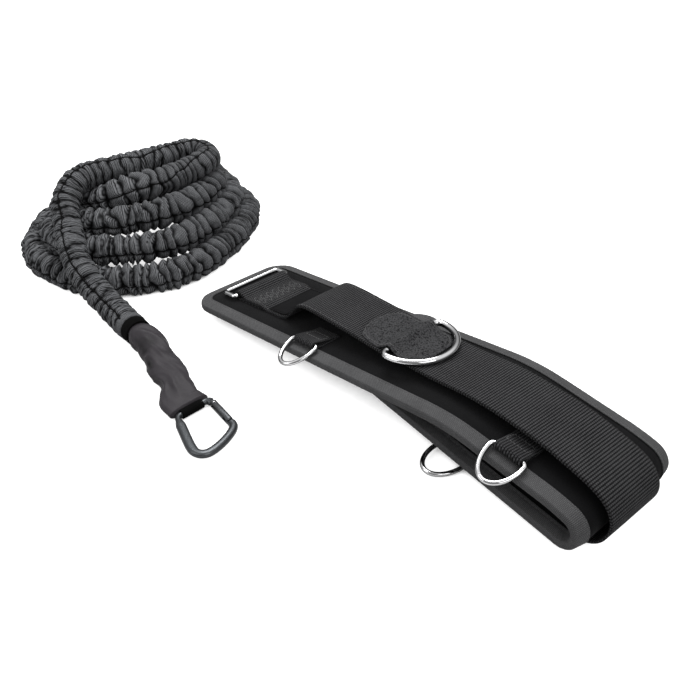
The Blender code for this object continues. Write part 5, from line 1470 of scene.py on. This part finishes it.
rings = {
    "buckle_ring": {
        "wire": 0.005, "span": 0.0675, "depth": 0.0165, "corner": 0.0032, "bow": False,
        "joint": "buckle_swing", "body": "buckle",
    },
    "large_d_ring": {
        "wire": 0.006, "span": 0.071, "depth": 0.041, "corner": 0.006, "bow": True, "bar": 0.231,
        "joint": "large_ring_swing", "body": "large_ring",
    },
}
for number in (1, 2, 3):
    rings["small_d_ring_%d" % number] = {
        "wire": 0.004, "span": 0.031, "depth": 0.029, "corner": 0.0035, "bow": True,
        "joint": "small_ring_%d_swing" % number, "body": "small_ring_%d" % number,
    }

labelTree = treeOf(smallPiece("labelPatch", "label_patch", "label", "label_cloth", 0.00025))
patchTree = treeOf(smallPiece("ringPatch", "ring_patch", "patch", "patch_fabric"))
smallPiece("hookPanel", "hook_panel", "hook", "hook_tape")
tabs = [smallPiece("ringTab%d" % number, "d_ring_tab_%d" % number, "tab", "webbing") for number in (1, 2, 3)]
strapTree = treeOf(wovenStrap)
centre, halfStrap = strap["centre"], strap["width"] / 2
x0, x1 = label["start"] + label["border"], label["start"] + label["length"] - label["border"]
halfLabel = label["width"] / 2 - label["border"]
border = rectangle(x0, x1, centre - halfLabel, centre + halfLabel, label["steps"])
sew("labelStitches", [drape(labelTree, fromAbove(border))], "thread", *threads["label"])
sew("patchStitches", [drape(patchTree, fromAbove(patchBorder()))], "greyThread", *threads["patch"])

rows = []
low, high = centre - halfStrap + crossing["inset"], centre + halfStrap - crossing["inset"]
for side in (-1, 1):
    x = crossing["middle"] + side * crossing["apart"]
    rows.append(drape(strapTree, fromAbove(straight((x, low), (x, high), crossing["longSteps"]))))
count = int((high - low) / crossing["pitch"])
for edge, side in ((crossing["start"], -1), (crossing["end"], 1)):
    inner = crossing["middle"] + side * (crossing["apart"] + crossing["beside"])
    zigzag = []
    for k in range(2 * count + 1):
        zigzag.append((edge if k % 2 else inner, low + (high - low) * k / (2 * count)))
    for start, end in zip(zigzag, zigzag[1:]):
        rows.append(drape(strapTree, fromAbove(straight(start, end, crossing["steps"]))))
sew("crossStitches", rows, "greyThread", *threads["cross"])

edges = []
for side in (-1, 1):
    y = centre + side * (halfStrap - edgeRow["inset"])
    row = straight((edgeRow["start"], y), (edgeRow["end"], y), edgeRow["steps"])
    edges.append(drape(strapTree, fromAbove(row)))
sew("strapEdgeStitches", edges, "greyThread", *threads["strapEdge"])

for number, place in zip((1, 2), ringPlaces):
    outline = rectangle(*tabBox["corners"], tabBox["steps"])
    spots = [tuple(beltPoint(place + s, w, 0.0)[:2]) for s, w in outline]
    sew("tabStitches%d" % number, [drape(treeOf(tabs[number - 1]), spots)], "greyThread", *threads["tab"])


def bindingRow(face):
    # The row that runs round the pad on one face of its binding
    spots, inward, _ = outlineSpots()
    inset = binding["stitchInset"]
    share = rimShare(inset)
    proud = pad["gap"] + binding["thickness"] - binding["dip"]
    if face > 0:
        height = proud - pad["drop"] * share
    else:
        height = -pad["thickness"] - proud + pad["rise"] * share
    s = spots[:, 0] + inward[:, 0] * inset
    w = spots[:, 1] + inward[:, 1] * inset
    points = beltPoint(s, w, height)
    normals = unit(beltPoint(s, w, height + binding["lip"] * face) - points)
    whole = np.concatenate([points, points[:1]])
    keepAbove(whole, binding["threadFloor"])
    return whole, np.concatenate([normals, normals[:1]])


sew("bindingStitches", [bindingRow(1), bindingRow(-1)], "bindingThread", *threads["binding"])
print("patches, tabs and stitches made")


# Metal rings: bent wire on each ring's own pivot

wire = {"bar": 14, "turn": 9, "bow": 49, "side": 8, "sides": 24}


def ringOutline(ring):
    # x out from the bar, y along it
    half, corner, depth = ring["span"] / 2, ring["corner"], ring["depth"]
    inner, reach = half - corner, depth - corner
    bar = [(0.0, y) for y in np.linspace(-inner, inner, wire["bar"])]
    turn = np.linspace(0.0, math.pi / 2, wire["turn"])[1:]
    first = [(corner - corner * math.cos(a), inner + corner * math.sin(a)) for a in turn]
    if ring["bow"]:
        bow = np.linspace(math.pi / 2, -math.pi / 2, wire["bow"])[1:-1]
        far = [(corner + reach * math.cos(a), half * math.sin(a)) for a in bow]
    else:
        far = [(x, half) for x in np.linspace(corner, reach, wire["side"])[1:]]
        far += [(reach + corner * math.sin(a), inner + corner * math.cos(a)) for a in turn]
        far += [(depth, y) for y in np.linspace(inner, -inner, wire["bar"])[1:]]
        far += [(reach + corner * math.cos(a), -inner - corner * math.sin(a)) for a in turn]
        far += [(x, -half) for x in np.linspace(reach, corner, wire["side"])[1:-1]]
    last = [(x, -y) for x, y in first[::-1]]
    return np.array(bar + first + far + last)


def makeRing(name, node, ring):
    joint = joints[ring["joint"]]
    axis = unit(np.array(joint["axis"], float))
    pivot = np.array(joint["pos_m"], float)
    solid = frame["nodes"][node]
    middle = np.mean([np.array(solid.matrix_world @ vert.co) for vert in solid.data.vertices], axis=0)
    pivot = pivot + axis * ((middle - pivot) @ axis)
    away = unit(middle - pivot)
    outline = ringOutline(ring)
    heading = unit(np.roll(outline, -1, axis=0) - np.roll(outline, 1, axis=0))
    aside = np.stack([heading[:, 1], -heading[:, 0]], axis=-1)
    angles = fullTurn(wire["sides"])
    thick = ring["wire"] / 2
    x = outline[:, :1] + aside[:, :1] * thick * np.cos(angles)
    y = outline[:, 1:] + aside[:, 1:] * thick * np.cos(angles)
    z = np.tile(thick * np.sin(angles), (len(outline), 1))
    up = np.cross(away, axis)
    points = pivot + x[..., None] * away + y[..., None] * axis + z[..., None] * up
    dress(gridPiece(name, points, metals["chrome"], closedRows=True), ring["body"], "chrome_wire", node)


for node, ring in rings.items():
    words = node.split("_")
    makeRing(words[0] + "".join(word.capitalize() for word in words[1:]), node, ring)
print("rings made")
